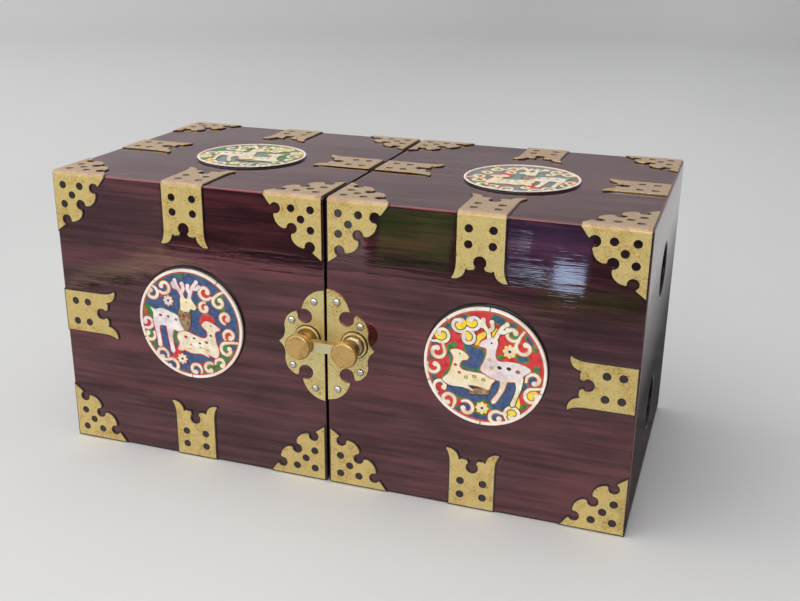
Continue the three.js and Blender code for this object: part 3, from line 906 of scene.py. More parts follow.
def strap_leaf():
    side = [(STRAP_HALF, 0)] + flowing([(11.2, 23.2), (11.5, 25.8), (12.2, 28.3), (13.2, 30.1)], 4)
    side += flowing([(13, 30.4), (11.6, 30.4), (10.2, 30), (8.6, 29), (7.4, 27.4), (6.8, 25.4)], 4)
    side += flowing([(6.3, 24.9), (5.6, 25.6), (4, 25.5), (2.7, 25.3)], 3)
    keyhole = arc(0, 21.7, KEYHOLE, 48, -228, 18)
    holes = [ring(a, b, HOLE) for a in (-5.7, 5.7) for b in (6.1, 13.6)]
    return {"path": side + keyhole + flipped(side), "holes": holes, "root": (-STRAP_HALF, STRAP_HALF)}


def plain_corner_leaf():
    leg = [(LEG, 0)] + flowing([(LEG - 1.2, 3), (22.5, 7), (19.8, 10)], 4)
    return {"path": leg + swapped(leg), "holes": [], "root": (0, LEG)}


def plain_strap_leaf():
    side = [(STRAP_HALF, 0)] + flowing([(11.2, 23.5), (11.7, 27), (13.2, STRAP_LENGTH)], 5)
    return {"path": side + [(0, 24.4)] + flipped(side), "holes": [], "root": (-STRAP_HALF, STRAP_HALF)}


CORNER, LEAF_STRAP = corner_leaf(), strap_leaf()
PLAIN_CORNER, PLAIN_STRAP = plain_corner_leaf(), plain_strap_leaf()
print("a corner leaf has", len(CORNER["path"]), "points and", len(CORNER["holes"]), "holes")

# %% [markdown]
# The lacquer was brushed on after the brass, so it stands in a dark bead along every cut edge, narrower
# on the top, and in a glossy drop inside every hole. Each leaf therefore gets two more forms in its
# piece: a thin plate a little larger than the leaf and lower than it, and a small dished pool in each
# hole.

# %% Flat and folded leaves
FOLD = EDGE * math.pi / 2
CREASES = [FOLD * i / 6 for i in range(7)] + [-0.25, FOLD + 0.25]
BEAD = 0.7
TOP_BEAD = 0.3
BEAD_RISE = 0.5
DROP_RISE = 0.7
LEAF_FINISHES = [leaf_brass, filed_brass, pooled_lacquer_and_shade, bead_lacquer]


def grown(points, reach):
    """The outline moved outwards corner by corner: by one reach, or by a list with one for each point."""
    count = len(points)
    reaches = reach if isinstance(reach, list) else [reach] * count
    area = sum(points[i - 1][0] * points[i][1] - points[i][0] * points[i - 1][1] for i in range(count))
    outwards = 1 if area > 0 else -1
    result = []
    for i, point in enumerate(points):
        here = Vector(point)
        last = (here - Vector(points[i - 1])).normalized()
        after = (Vector(points[(i + 1) % count]) - here).normalized()
        bisector = Vector((last.y + after.y, -last.x - after.x))
        if bisector.length < 1e-3:
            bisector = Vector((last.y, -last.x))
        bisector.normalize()
        mitre = min(1.6, 1 / max(0.2, bisector.dot(Vector((after.y, -after.x)))))
        result.append(tuple(here + bisector * (outwards * reaches[i] * mitre)))
    return result


def drop(a, b, radius, rise=DROP_RISE):
    """Lacquer that has run into a hole: low in the middle and drawn up at the wall."""
    curve = [(radius * (1 - t), rise * (0.2 + 0.8 * (1 - t) ** 3)) for t in (i / 7 for i in range(8))]
    mesh = turned([(0, 0), (radius, 0)] + curve, 20)
    return carried(mesh, lambda x, y, z: Vector((a + x, b + y, z)))


def leaf_mesh(outline, holes, reach, folds=()):
    """The brass leaf, the bead of lacquer round it and the drops in its holes."""
    brass_leaf = plate(outline, holes, folds=folds)
    bead = plate(grown(outline, reach), thickness=BEAD_RISE, softening=0.4, folds=folds, cuts=3)
    parts = [brass_leaf, painted(bead, 3)]
    for hole in holes:
        a = sum(point[0] for point in hole) / len(hole)
        b = sum(point[1] for point in hole) / len(hole)
        parts.append(painted(drop(a, b, HOLE + 0.02), 2))
    return gathered(parts)


def closed_at_corner(leaf):
    """A corner leaf's outline starts at its square corner; a strap's is already closed."""
    start = [(0, 0)] if leaf["root"][0] == 0 else []
    return start + leaf["path"]


def flat_leaf(name, leaf, place, side_name):
    reach = TOP_BEAD if "_top_" in name else BEAD
    mesh = carried(leaf_mesh(closed_at_corner(leaf), leaf["holes"], reach), place)
    piece(name, mesh, LEAF_FINISHES, BODIES[side_name], [name])


def folded_leaf(name, over, down, along, side_name, is_front):
    """A leaf folded over the top edge: one outline lies on the top and the other hangs down."""
    side = SIDES[side_name]
    outline = [(a, FOLD + b) for a, b in over["path"]] + [(a, -b) for a, b in reversed(down["path"])]
    holes = [[(a, FOLD + b) for a, b in hole] for hole in over["holes"]]
    holes += [[(a, -b) for a, b in hole] for hole in down["holes"]]

    def bend(a, run, lift):
        turn = min(max(run / EDGE, 0), math.pi / 2)
        past = max(run - FOLD, 0)
        short = min(run, 0)
        y = EDGE - (EDGE + lift) * math.cos(turn) + past
        z = HEIGHT - EDGE + (EDGE + lift) * math.sin(turn) + short
        return spot(from_split(side, along(a)), y if is_front else DEPTH - y, z)

    reach = [TOP_BEAD if b > FOLD else BEAD for a, b in outline]
    mesh = carried(leaf_mesh(outline, holes, reach, CREASES), bend)
    piece(name, mesh, LEAF_FINISHES, BODIES[side_name], [name])


# %% [markdown]
# The places repeat: two corners and a strap along every long edge, front and back, and more straps at
# the ends and on the top. One function binds a half.

# %% Binding both halves
def bind(name, side):
    middle, mid_height, mid_depth = HALF / 2, HEIGHT / 2, DEPTH / 2
    front, back, top = on_front(side), on_back(side), on_top(side)
    ways = {"inner": lambda a: MARGIN + a, "outer": lambda a: HALF - EDGE - a}
    for way, along in ways.items():
        folded_leaf(f"{name}_top_front_{way}_corner", CORNER, CORNER, along, name, True)
        folded_leaf(f"{name}_top_back_{way}_corner", CORNER, PLAIN_CORNER, along, name, False)
        for word, face, leaf in (("front", front, CORNER), ("back", back, PLAIN_CORNER)):
            flat_leaf(
                f"{name}_{word}_bottom_{way}_corner", leaf,
                lambda a, b, c, face=face, along=along: face(along(a), EDGE + b, c), name,
            )
    folded_leaf(f"{name}_top_front_strap", LEAF_STRAP, LEAF_STRAP, lambda a: middle + a, name, True)
    folded_leaf(f"{name}_top_back_strap", LEAF_STRAP, PLAIN_STRAP, lambda a: middle + a, name, False)
    for word, face, leaf in (("front", front, LEAF_STRAP), ("back", back, PLAIN_STRAP)):
        flat_leaf(
            f"{name}_{word}_bottom_strap", leaf,
            lambda a, b, c, face=face: face(middle + a, EDGE + b, c), name,
        )
        flat_leaf(
            f"{name}_{word}_end_strap", leaf,
            lambda a, b, c, face=face: face(HALF - EDGE - b, mid_height + a, c), name,
        )
    flat_leaf(
        f"{name}_top_end_strap", LEAF_STRAP,
        lambda a, b, c: top(HALF - EDGE - b, mid_depth + a, c), name,
    )
    flat_leaf(
        f"{name}_top_split_strap", LEAF_STRAP,
        lambda a, b, c: top(MARGIN + b, mid_depth + a, c), name,
    )


for name, side in SIDES.items():
    bind(name, side)
leaves = [name for name in triangles if "corner" in name or "strap" in name]
print(len(leaves), "leaves with", sum(triangles[name] for name in leaves), "triangles")

# %% [markdown]
# ## The latch
# Two fretted plates meet at the split, like the wings of a butterfly. Each carries a turned post with
# a stepped boss and a flat knob, and a bright faceted arm hangs from the left post over the right one.
# The right shank is thick and rough, like a worn screw, and shows a bright collar behind its knob.

# %% Latch plates and nails
LATCH_HALF_HEIGHT = 29.2
LATCH_LOBE = 12.7
LATCH_SHIFT = {"left": -0.1, "right": 1.2}
NAIL = 1.65
NAIL_SPOTS = ((5.3, 23), (17.4, 12))


def latch_outline():
    lobe = arc(-0.7, LATCH_HALF_HEIGHT - LATCH_LOBE, LATCH_LOBE, 86, 10, 12)
    bite = arc(10.2, 14.9, 3.9, 88, 370, 20)
    shoulder = flowing([(17.4, 16), (20, 13.4), (21.3, 9.6), (21.1, 6), (22, 2.6), (24.4, 0)], 4)
    upper = [(0, LATCH_HALF_HEIGHT)] + lobe + bite + [(14.8, 17)] + shoulder
    return upper + [(a, -b) for a, b in reversed(upper[:-1])]


def nail_head(radius=NAIL, rise=0.85):
    profile = [(0, 0), (radius, 0)]
    profile += [(radius * math.cos(t), 0.15 + (rise - 0.15) * math.sin(t))
                for t in (math.pi / 2 * i / 6 for i in range(6))]
    return turned(profile + [(0, rise)], 20)


def grime_ring(radius=NAIL, width=0.3):
    """Old lacquer that has gathered round a nail."""
    inside, outside = radius - 0.1, radius + width
    return turned([(inside, 0), (outside, 0), (radius + width * 0.6, 0.1), (inside, 0.14)], 20)


PLATE_FINISHES = [plate_brass, filed_brass, pooled_lacquer_and_shade]
for name, side in SIDES.items():
    face = on_front(side)
    middle = HEIGHT / 2 + LATCH_SHIFT[name]
    mesh = carried(plate(latch_outline()), lambda a, b, c: face(0.1 + a, middle + b, c))
    plate_name = f"{name}_latch_plate"
    piece(plate_name, mesh, PLATE_FINISHES, BODIES[name], [plate_name])
    places = [(out, up) for out, rise in NAIL_SPOTS for up in (rise, -rise)]
    heads = [
        carried(part, lambda a, b, c, out=out, up=up: face(out + a, middle + up + b, BRASS + c))
        for out, up in places for part in (nail_head(), painted(grime_ring(), 1))
    ]
    piece(f"{name}_latch_nails", gathered(heads), [nail_steel, pooled_lacquer_and_shade], BODIES[name])
print("latch plates:", triangles["left_latch_plate"], "triangles each")

# %% [markdown]
# Each post is one lathe profile of boss, shank and knob, with its corners softened. A face gets its
# finish by where it lies: bevels and flanks are in shade, and old lacquer rings the foot. The arm is cut
# from thick plate, with an eye round the left neck and a slot over the right one, open downwards.

# %% Posts and arm
POST_RISE = HEIGHT / 2 + 3.3
POST_OUT = {"left": 9, "right": 14.3}
KNOB_CLEAR = {"left": 0.6, "right": 2.4}
SHOULDER = {"left": 3.6, "right": 4.7}
GROOVES = {"left": 0, "right": 5}
BOSS = 6.7
BOSS_STEP = 5.5
BOSS_RISE = 1.9
NECK = 2.4
KNOB = 6.65
KNOB_THICKNESS = 2.6
ARM_BACK = 6.2
ARM_THICKNESS = 4
ARM_EYE = 5
ARM_GAP = 0.4
POST_FINISHES = [knob_brass, filed_brass, worn_shank, plate_brass, shaded_brass, pooled_lacquer_and_shade]


def post_profile(name):
    knob_back = ARM_BACK + ARM_THICKNESS + KNOB_CLEAR[name]
    knob_front = knob_back + KNOB_THICKNESS
    neck_start = ARM_BACK - 0.3
    boss_top = BRASS + BOSS_RISE
    shoulder = SHOULDER[name]
    shank = [(shoulder, boss_top)]
    turns = GROOVES[name]
    for i in range(turns):
        along = boss_top + 0.3 + (neck_start - boss_top - 0.5) * i / turns
        shank += [(shoulder, along), (shoulder - 0.28, along + 0.22), (shoulder, along + 0.44)]
    boss = [(0, BRASS), (BOSS + 0.6, BRASS), (BOSS + 0.2, BRASS + 0.25), (BOSS, BRASS + 0.45)]
    boss += [(BOSS, BRASS + 1.2), (BOSS_STEP, BRASS + 1.3), (BOSS_STEP - 0.2, BRASS + 1)]
    boss += [(BOSS_STEP - 0.4, boss_top)]
    head = [
        (shoulder, neck_start), (NECK, neck_start), (NECK, knob_back), (KNOB - 0.9, knob_back),
        (KNOB, knob_back + 0.9), (KNOB, knob_front - 0.7), (KNOB - 0.45, knob_front - 0.14),
        (KNOB - 0.9, knob_front - 0.14), (KNOB - 1.1, knob_front), (0.5, knob_front), (0, knob_front),
    ]
    return eased(boss, 0.35, 3, closed=False) + shank + eased(head, 0.25, 3, closed=False)


for name, side in SIDES.items():
    face = on_front(side)
    mesh = turned(post_profile(name), 64)
    for turned_face in mesh.faces:
        middle = turned_face.calc_center_median()
        reach = math.hypot(middle.x, middle.y)
        if middle.z > ARM_BACK + ARM_THICKNESS + 1 and KNOB - 0.5 < reach < KNOB - 0.12:
            turned_face.material_index = 4
        elif middle.z < BRASS + 0.44:
            turned_face.material_index = 5
        elif middle.z < ARM_BACK:
            on_shank = GROOVES[name] and reach < SHOULDER[name] + 0.1
            on_flank = reach > BOSS - 0.2 or SHOULDER[name] + 0.1 < reach < BOSS_STEP + 0.1
            turned_face.material_index = 2 if on_shank else 4 if on_flank else 3
    mesh = carried(mesh, lambda a, b, along: face(POST_OUT[name] + a, POST_RISE + b, along))
    post_name = f"{name}_latch_post"
    piece(post_name, mesh, POST_FINISHES, BODIES[name], [post_name])

arm_span = POST_OUT["left"] + SPLIT + POST_OUT["right"]
slot = NECK + ARM_GAP
meet = math.degrees(math.asin(2.5 / ARM_EYE))
opening = math.degrees(math.asin(slot / ARM_EYE))
arm_outline = arc(0, 0, ARM_EYE, meet, 360 - meet, 24)
arm_outline += arc(arm_span, 0, ARM_EYE, 180 + meet, 270 - opening, 5)
arm_outline += arc(arm_span, 0, slot, 180, 0, 14)
arm_outline += arc(arm_span, 0, ARM_EYE, opening - 90, 180 - meet, 20)
arm_mesh = plate(arm_outline, [ring(0, 0, slot)], ARM_THICKNESS, softening=1.3, rim_paint=0)
pivot = from_split(SIDES["left"], POST_OUT["left"])
arm_mesh.normal_update()
for arm_face in arm_mesh.faces:
    if abs(arm_face.normal.z) < 0.3:
        arm_face.material_index = 1
carried(arm_mesh, lambda a, b, c: spot(pivot + a, -ARM_BACK - c, POST_RISE + b))
piece("latch_arm_bar", arm_mesh, [latch_brass, shaded_brass], "latch_arm", ["latch_arm"])
print("latch:", {name: triangles[name] for name in triangles if "post" in name or "arm" in name})

# %% [markdown]
# ## The back hinges
# Nothing of the back shows, so it is finished in keeping and plainer: two brass butt hinges with cut
# corners, three knuckles each, a pin with rounded heads, and three nails to a leaf.

# %% Hinges
HINGE_HEIGHT = 26
HINGE_LEAF = 24
KNUCKLE = 2.22
KNUCKLE_BACK = 2.4
KNUCKLE_GAP = 0.3
HINGE_INSET = EDGE + LEG + 5.5 + HINGE_HEIGHT / 2
PIN = 1.2


def knuckle(low, high, bore=1.3):
    profile = [(bore, low), (KNUCKLE - 0.2, low), (KNUCKLE, low + 0.2), (KNUCKLE, high - 0.2)]
    profile += [(KNUCKLE - 0.2, high), (bore, high), (bore, low)]
    mesh = turned(profile, 32)
    bmesh.ops.remove_doubles(mesh, verts=mesh.verts[:], dist=1e-4)
    return carried(mesh, lambda a, b, along: spot(a, DEPTH + KNUCKLE_BACK + b, along))


def hinge_leaf(name, side_name, rise, spans):
    side = SIDES[side_name]
    low, high = rise - HINGE_HEIGHT / 2, rise + HINGE_HEIGHT / 2
    start = 2.8
    end = start + HINGE_LEAF
    outline = [(start, low), (end - 5, low), (end, low + 5)]
    outline += [(end, high - 5), (end - 5, high), (start, high)]

    def place(a, b, c):
        return spot(side * a, DEPTH + c, b)

    parts = [carried(plate(eased(outline, 0.8), thickness=1.0), place)]
    for base, tip in spans:
        tab = [(0.6, base), (start + 1, base), (start + 1, tip), (0.6, tip)]
        parts.append(carried(plate(tab, thickness=0.98, softening=0.1), place))
        parts.append(knuckle(base, tip))
    piece(name, gathered(parts), [leaf_brass, filed_brass], BODIES[side_name], [name])
    nails = [
        carried(nail_head(1.6, 0.7), lambda a, b, c, out=out, up=up: place(out + a, rise + up + b, 1.0 + c))
        for out, up in ((9, 8), (9, -8), (20, 0))
    ]
    piece(f"{name}_nails", gathered(nails), [nail_steel], BODIES[side_name])


def hinge_pin(name, rise):
    reach = HINGE_HEIGHT / 2 + KNUCKLE_GAP
    head = [(0, -1.2), (1.2, -1.1), (1.8, -0.6), (1.9, 0), (PIN, 0)]
    profile = [(radius, rise - reach + along) for radius, along in head]
    profile += [(radius, rise + reach - along) for radius, along in reversed(head)]
    mesh = carried(turned(profile, 24), lambda a, b, along: spot(a, DEPTH + KNUCKLE_BACK + b, along))
    piece(f"{name}_turned", mesh, [knob_brass], "left_half", [name])


third = HINGE_HEIGHT / 3
for name, rise in (("lower", HINGE_INSET), ("upper", HEIGHT - HINGE_INSET)):
    low, high = rise - HINGE_HEIGHT / 2, rise + HINGE_HEIGHT / 2
    hinge_leaf(f"{name}_hinge_left_leaf", "left", rise, [(low, low + third), (high - third, high)])
    middle_span = (low + third + KNUCKLE_GAP, high - third - KNUCKLE_GAP)
    hinge_leaf(f"{name}_hinge_right_leaf", "right", rise, [middle_span])
    hinge_pin(f"{name}_hinge_pin", rise)
print("hinges:", sum(count for name, count in triangles.items() if "hinge" in name), "triangles")

# %% [markdown]
# ## Roundels
# Each roundel is a shallow disc with a lacquered wall, a rim of pale bone in a few curved lengths, and a
# painted field of deer, scrolling clouds and small flowers on coloured grounds. The paint stands up a
# little wherever it was laid on, so every motif is a thin low plate with a softened edge.

# %% Paints and bone
def paint(name, shade, light, roughness=0.28, mottle=420.0):
    finish = Finish(name, roughness=roughness, ior=1.4)
    wide = finish.noise(finish.place, mottle, detail=4.0, roughness=0.65)
    grain = finish.noise(finish.place, 2600.0, detail=2.0)
    finish.feed("Base Color", finish.ramp(wide * 0.75 + grain * 0.25, (0.36, shade), (0.64, light)))
    finish.relief(wide * 0.6 + grain * 0.4, 0.22, 0.00015)
    return finish.material


PAINTS = {
    "slate": paint("slate_paint", (0.03, 0.06, 0.16), (0.08, 0.13, 0.27)),
    "green": paint("green_paint", (0.03, 0.13, 0.03), (0.08, 0.3, 0.09)),
    "red": paint("red_paint", (0.5, 0.02, 0.025), (0.78, 0.06, 0.07)),
    "yellow": paint("yellow_paint", (0.85, 0.52, 0.02), (0.98, 0.8, 0.08)),
    "ivory": paint("ivory_paint", (0.7, 0.54, 0.36), (0.97, 0.91, 0.76), mottle=260.0),
    "lavender": paint("lavender_paint", (0.62, 0.5, 0.52), (0.95, 0.89, 0.87), mottle=190.0),
    "brown": paint("brown_paint", (0.1, 0.05, 0.025), (0.5, 0.34, 0.2), mottle=700.0),
    "dark": paint("dark_line", (0.03, 0.015, 0.012), (0.09, 0.045, 0.03)),
    "rust": paint("rust_line", (0.34, 0.06, 0.03), (0.62, 0.22, 0.09)),
    "teal": paint("teal_paint", (0.09, 0.17, 0.18), (0.2, 0.3, 0.28)),
    "cream": paint("cream_paint", (0.76, 0.6, 0.34), (0.96, 0.88, 0.64), mottle=260.0),
    "bone": paint("bone_rim", (0.8, 0.62, 0.52), (0.97, 0.9, 0.84), mottle=120.0),
    "wall": paint("roundel_wall_shade", (0.005, 0.003, 0.004), (0.014, 0.008, 0.009), roughness=0.4),
}
PAINTS["pool"] = pooled_lacquer_and_shade
PAINTS["side"] = case_lacquer
PAINT_ORDER = list(PAINTS)
print("paints:", PAINT_ORDER)

# %% [markdown]
# A picture is built from a few strokes, in millimetres from the roundel's middle: blobs through a
# handful of points, ribbons along a line, curls that coil inwards, rosettes and ovals. `Picture` lays
# each as a plate that is a micron above the last.

# %% Strokes
CURL_WIDTHS = [1.0, 1.45, 1.6, 1.6, 1.7, 2.1]
ANTLER_WIDTHS = [1.9, 1.9, 1.7]
RIM_LINES = ((27.55, 26.95), (26.97, 26.55))


def ribbon(path, widths):
    """A closed outline round a centre line, with its width given at every point or interpolated."""
    count = len(path)
    left, right = [], []
    for i, point in enumerate(path):
        t = i / (count - 1)
        reach = t * (len(widths) - 1)
        low = min(int(reach), len(widths) - 2)
        half = (widths[low] + (widths[low + 1] - widths[low]) * (reach - low)) / 2
        ahead = Vector(path[min(i + 1, count - 1)]) - Vector(path[max(i - 1, 0)])
        ahead.normalize()
        aside = Vector((-ahead.y, ahead.x)) * half
        left.append(tuple(Vector(point) + aside))
        right.append(tuple(Vector(point) - aside))
        if i == count - 1:
            cap = Vector(point) + ahead * half
            left.append(tuple(cap))
    return left + right[::-1]


def scroll(a, b, size, start, sweep):
    """The centre line of a curl that runs round (a, b) and closes in on it."""
    steps = 24
    line = []
    for i in range(steps + 1):
        t = i / steps
        radius = size * (1 - 0.62 * t ** 1.7)
        angle = math.radians(start + sweep * t)
        line.append((a + radius * math.cos(angle), b + radius * math.sin(angle)))
    return line


def rosette(a, b, radius, petals=8):
    steps = petals * 6
    return [
        (a + reach * math.cos(turn), b + reach * math.sin(turn))
        for turn, reach in (
            (2 * math.pi * i / steps, radius * (0.86 + 0.14 * math.cos(2 * math.pi * i / 6)))
            for i in range(steps)
        )
    ]


def oval(a, b, wide, high, tilt=0):
    cos, sin = math.cos(math.radians(tilt)), math.sin(math.radians(tilt))
    return [
        (a + x * wide * cos - y * high * sin, b + x * wide * sin + y * high * cos)
        for x, y in ring(0, 0, 1, 14)
    ]


print("a rosette has", len(rosette(0, 0, 1)), "points")

# %% A picture in the making
class Picture:
    """Collects the painted plates of one roundel, each on its own layer above the field."""

    def __init__(self, tones, mirror=1):
        self.tones = tones
        self.mirror = mirror
        self.parts = []
        self.layer = 0.02

    def lay(self, outline, tone, soft=0.0, step=0.0012):
        """One patch of paint. Each is about a micron higher than the last, so that none coincide."""
        self.layer += step
        flat = [(a * self.mirror, b) for a, b in outline]
        thickness = self.layer + 0.06
        part = plate(flat, thickness=thickness, softening=min(soft, thickness * 0.6))
        self.keep(part, tone)

    def keep(self, part, tone):
        self.parts.append(painted(part, PAINT_ORDER.index(self.tones.get(tone, tone))))

    def raised(self, outline, tone, relief=0.05):
        """A patch with a softened edge that stands a little proud."""
        self.layer += relief
        self.lay(outline, tone, soft=0.07)
        self.layer -= relief

    def banked(self, outline, reach):
        """A slate ground with a green bank round it."""
        self.lay(grown(outline, reach), "green")
        self.lay(outline, "slate")

    def figure(self, outline, tone, line="rust", width=0.42, relief=0.05):
        """A raised motif with its painted outline under it."""
        self.lay(grown(outline, width), line)
        self.raised(outline, tone, relief)

    def curls(self, *curls, tone="ivory", line="rust"):
        """Scrolling clouds: centre, size, start and sweep of each, what fills it, and its lead-in."""
        for a, b, size, start, sweep, fill, *lead in curls:
            if fill:
                self.lay(ring(a, b, size * 0.84, 18), fill)
            body = scroll(a, b, size, start, sweep)
            path = flowing(lead + [body[0]], 3)[:-1] + body if lead else body
            self.figure(ribbon(path, CURL_WIDTHS), tone, line)
            self.raised(ring(*body[-1], 1.3, 14), tone)

    def antler(self, paths, tone="ivory", line="rust"):
        for path in paths:
            self.figure(ribbon(flowing(path, 4), ANTLER_WIDTHS), tone, line, width=0.35)
            self.raised(ring(*path[-1], 1.15, 12), tone)

    def flower(self, a, b, radius=2.7, tone="ivory", line="rust"):
        self.figure(rosette(a, b, radius), tone, line, width=0.4)
        self.layer += 0.06
        self.lay(ring(a, b, radius * 0.24, 10), "dark")
        for i in range(8):
            turn, reach = math.radians(45 * i + 22), radius * 0.62
            self.lay(ring(a + reach * math.cos(turn), b + reach * math.sin(turn), 0.16, 6), line)
        self.layer -= 0.06

    def spots(self, places, tone, line="dark", wide=0.75):
        self.layer += 0.06
        for a, b in places:
            self.lay(oval(a, b, wide * 1.25, wide * 0.95, -10), line)
            self.lay(oval(a, b, wide * 0.8, wide * 0.55, -10), tone)
        self.layer -= 0.06

    def ovals(self, tone, *ovals):
        for each in ovals:
            self.lay(oval(*each), tone)

    def rim_lines(self, *tones):
        for tone, (outer, inner) in zip(tones, RIM_LINES):
            self.layer += 0.01
            outline, hole = ring(0, 0, outer, 96), ring(0, 0, inner, 96)
            self.keep(plate(outline, [hole], thickness=self.layer + 0.05, softening=0), tone)


print("a picture knows", [name for name in vars(Picture) if not name.startswith("_")])

# %% [markdown]
# There are two pictures, and each serves twice: on one half's front, and mirrored and in paler tones on
# the other half's top. The grounds come first, then lines, clouds and flowers, and the deer last.

# %% Walking and resting
def walking_and_resting(tones, mirror=1):
    """A standing stag looking right over a resting doe, on a slate ground."""
    art = Picture(tones, mirror)
    art.lay(blob([
        (-27, 5), (-25.4, 8), (-20.5, 6.2), (-19.6, 2), (-22.6, -4), (-22.2, -10), (-24, -12.8),
        (-27, -4),
    ]), "green")
    art.lay(blob([
        (-24.5, -10.5), (-21.5, -12), (-18.5, -18.5), (-15, -22.3), (-19, -19.7), (-23, -14.4),
    ]), "green")
    art.lay(blob([
        (15.5, -14.5), (20, -12.5), (24.5, -11), (20.6, -17.5), (14.8, -22.8), (12.4, -23.4),
        (13.2, -18.6),
    ]), "green")
    art.lay(blob([(-5.8, 26.4), (-4.8, 23.4), (-3.6, 23.6), (-2.9, 26.4)], 3), "green")
    art.ovals(
        "green", (17.2, 17.6, 2.6, 1.9, -40), (18.3, 10.1, 1.8, 1.5), (19.5, -7.6, 2.6, 1.6, 20),
        (-20.2, 18.4, 1.6, 1.4), (-8.7, -8, 2.2, 3.6),
    )
    art.lay(blob([(3.4, 9.6), (5, 11.4), (8, 9.4), (6.8, 7.6)], 3), "red")
    art.lay(blob([
        (-9, -13.6), (-6.6, -9.6), (-5.2, -14), (-6.4, -16.8), (-9.6, -20.4), (-12.8, -20.2),
        (-10.4, -16.6),
    ]), "red")
    art.lay(blob([(3.8, -21), (8.4, -19.4), (12.6, -18.8), (12, -21.4), (7.4, -22.2)], 3), "red")
    art.lay(blob([(8.2, -26), (14, -23.4), (18.6, -19.8), (14.2, -22.6), (9.4, -24.2)], 3), "red")
    art.ovals("red", (-25.4, 3.4, 1.2, 1.9, 20), (-16.6, 13.6, 1.3, 1.1))
    art.rim_lines("red", "green")

    art.curls(
        (-21.2, 14.4, 3.5, 78, -320, "slate", (-20.9, 18.5)),
        (-14.2, 18.3, 3.6, 228, 300, "slate", (-18.2, 14.8)),
        (9.2, 18.0, 3.7, -42, -310, "red", (14.2, 15.6)),
        (16.6, 13.8, 3.3, 120, 300, "green", (19.4, 19.4), (17.2, 18.4)),
        (8.4, 9.8, 2.9, 72, 300, "red"),
        (20.0, 5.8, 3.1, -92, -300, "red"),
        (21.7, -3.4, 3.3, -128, -300, "red"),
        (20.0, -11.0, 3.7, 84, 300, "green", (26.6, -6.6), (22.6, -6.9)),
        (16.0, -19.4, 3.0, -165, -240, "green"),
        (9.7, -22.8, 3.2, 50, 250, "green"),
        (1.6, -24.6, 3.4, -30, 300, "slate"),
        (-17.6, -18.8, 3.5, -22, 300, "slate"),
        (-12.0, -24.4, 3.8, 122, -290, "slate", (-18, -21.4), (-16, -21.4)),
        (-24.2, -8.8, 3.2, 40, -260, "green"),
    )
    art.curls((-25.0, -2.0, 3.3, -100, 280, "red", (-27.8, -5.4)), tone="lavender")
    art.flower(-12, 11.2, 2.9, tone="lavender")
    art.flower(-5.9, -19.6, 2.9)

    art.antler([
        [(-3.4, 13), (-4.6, 16.6), (-6.4, 19.2), (-7.6, 22.4)],
        [(-4.4, 16), (-3, 18.6), (-3.6, 21)],
        [(-6, 18.8), (-8.2, 19.2), (-8.8, 20.6)],
        [(0, 13.4), (1, 17), (2.4, 20), (4.6, 22.8)],
        [(0.8, 16.6), (-0.6, 18.6), (-0.4, 20.4)],
        [(2, 19.4), (4.4, 19.2), (5.8, 20.4)],
    ], "lavender", "red")
    hind_leg = [(-19.4, 0), (-19.3, -5), (-18.6, -9.5), (-18.3, -13.8)]
    fore_leg = [(-11.8, -3), (-12.0, -8), (-11.5, -12), (-10.9, -16)]
    for leg in (hind_leg, fore_leg):
        art.figure(ribbon(flowing(leg, 4), [4.4, 2.6, 2.2, 2.5]), "lavender", "red")
    art.figure(blob([
        (-22.6, 6.4), (-19.8, 5.6), (-16, 6.6), (-11.4, 5.4), (-7, 3.8), (-3.6, 1.4), (-2.6, -2.4),
        (-4.2, -5), (-9, -4.4), (-13, -2.9), (-16.6, -2.6), (-19.8, -3.4), (-21.2, 0.4), (-21.2, 3.8),
    ]), "lavender", "green")
    art.figure(blob([
        (-6.8, 3.6), (-5.6, 7.6), (-2.8, 8.4), (-0.4, 7.4), (0.4, 3.4), (-0.4, -1.6), (-2.8, -4.4),
        (-5.2, -1.6),
    ]), "brown", "dark")
    art.figure(blob([
        (-5, 13.4), (-3.8, 14.2), (-1.4, 13.4), (0.8, 14.2), (1.9, 12.4), (3.9, 9.4), (2.6, 7.9),
        (0.4, 8.2), (-0.6, 6.6), (-4.8, 6.8), (-5.1, 10),
    ]), "cream", "green")
    art.spots([(-17, 2.8), (-3.4, 3.8)], "red")
    art.spots([(-12.6, 2.6), (-8.2, 1.5)], "brown", wide=0.7)
    art.spots([(-5.2, -1), (-1.6, 11.6)], "yellow", wide=0.42)

    art.figure(blob([
        (5.8, 1.2), (6.4, 4.6), (8.8, 6.4), (12, 5.6), (13.6, 3.2), (9.6, 3.4),
    ]), "red", "rust", relief=0.06)
    art.layer += 0.04
    art.figure(blob([
        (-4.4, -14), (0, -15.6), (5.4, -15.2), (9.8, -16.6), (7.4, -14), (1, -13.4),
    ]), "cream", "red")
    art.figure(blob([
        (6.4, 0.6), (8.6, 2.8), (12.2, 2.2), (16.6, -0.6), (14.4, -1.9), (13.6, -3.4), (14.2, -8),
        (15.6, -12.8), (14, -16.4), (10.6, -15.6), (4.4, -14.2), (-1.6, -13.2), (-5.4, -15),
        (-8, -14.4), (-6.8, -11), (-8, -8), (-6.8, -5.2), (-2.4, -4.2), (2.8, -5.8), (7.2, -6.6),
        (9.3, -5), (9, -2.4), (7.2, -0.8),
    ]), "ivory", "red")
    art.spots([(-3, -7.2), (8.6, -8.6)], "red")
    art.spots([(1.6, -7.3), (11.3, -4.6), (4.8, -9.6)], "dark", wide=0.6)
    art.spots([(-0.4, -11), (5, -11.8), (9, -12.8)], "yellow", wide=0.5)
    art.spots([(11.6, 0.7)], "dark", wide=0.35)
    return art.parts


print("the first picture is ready to lay")

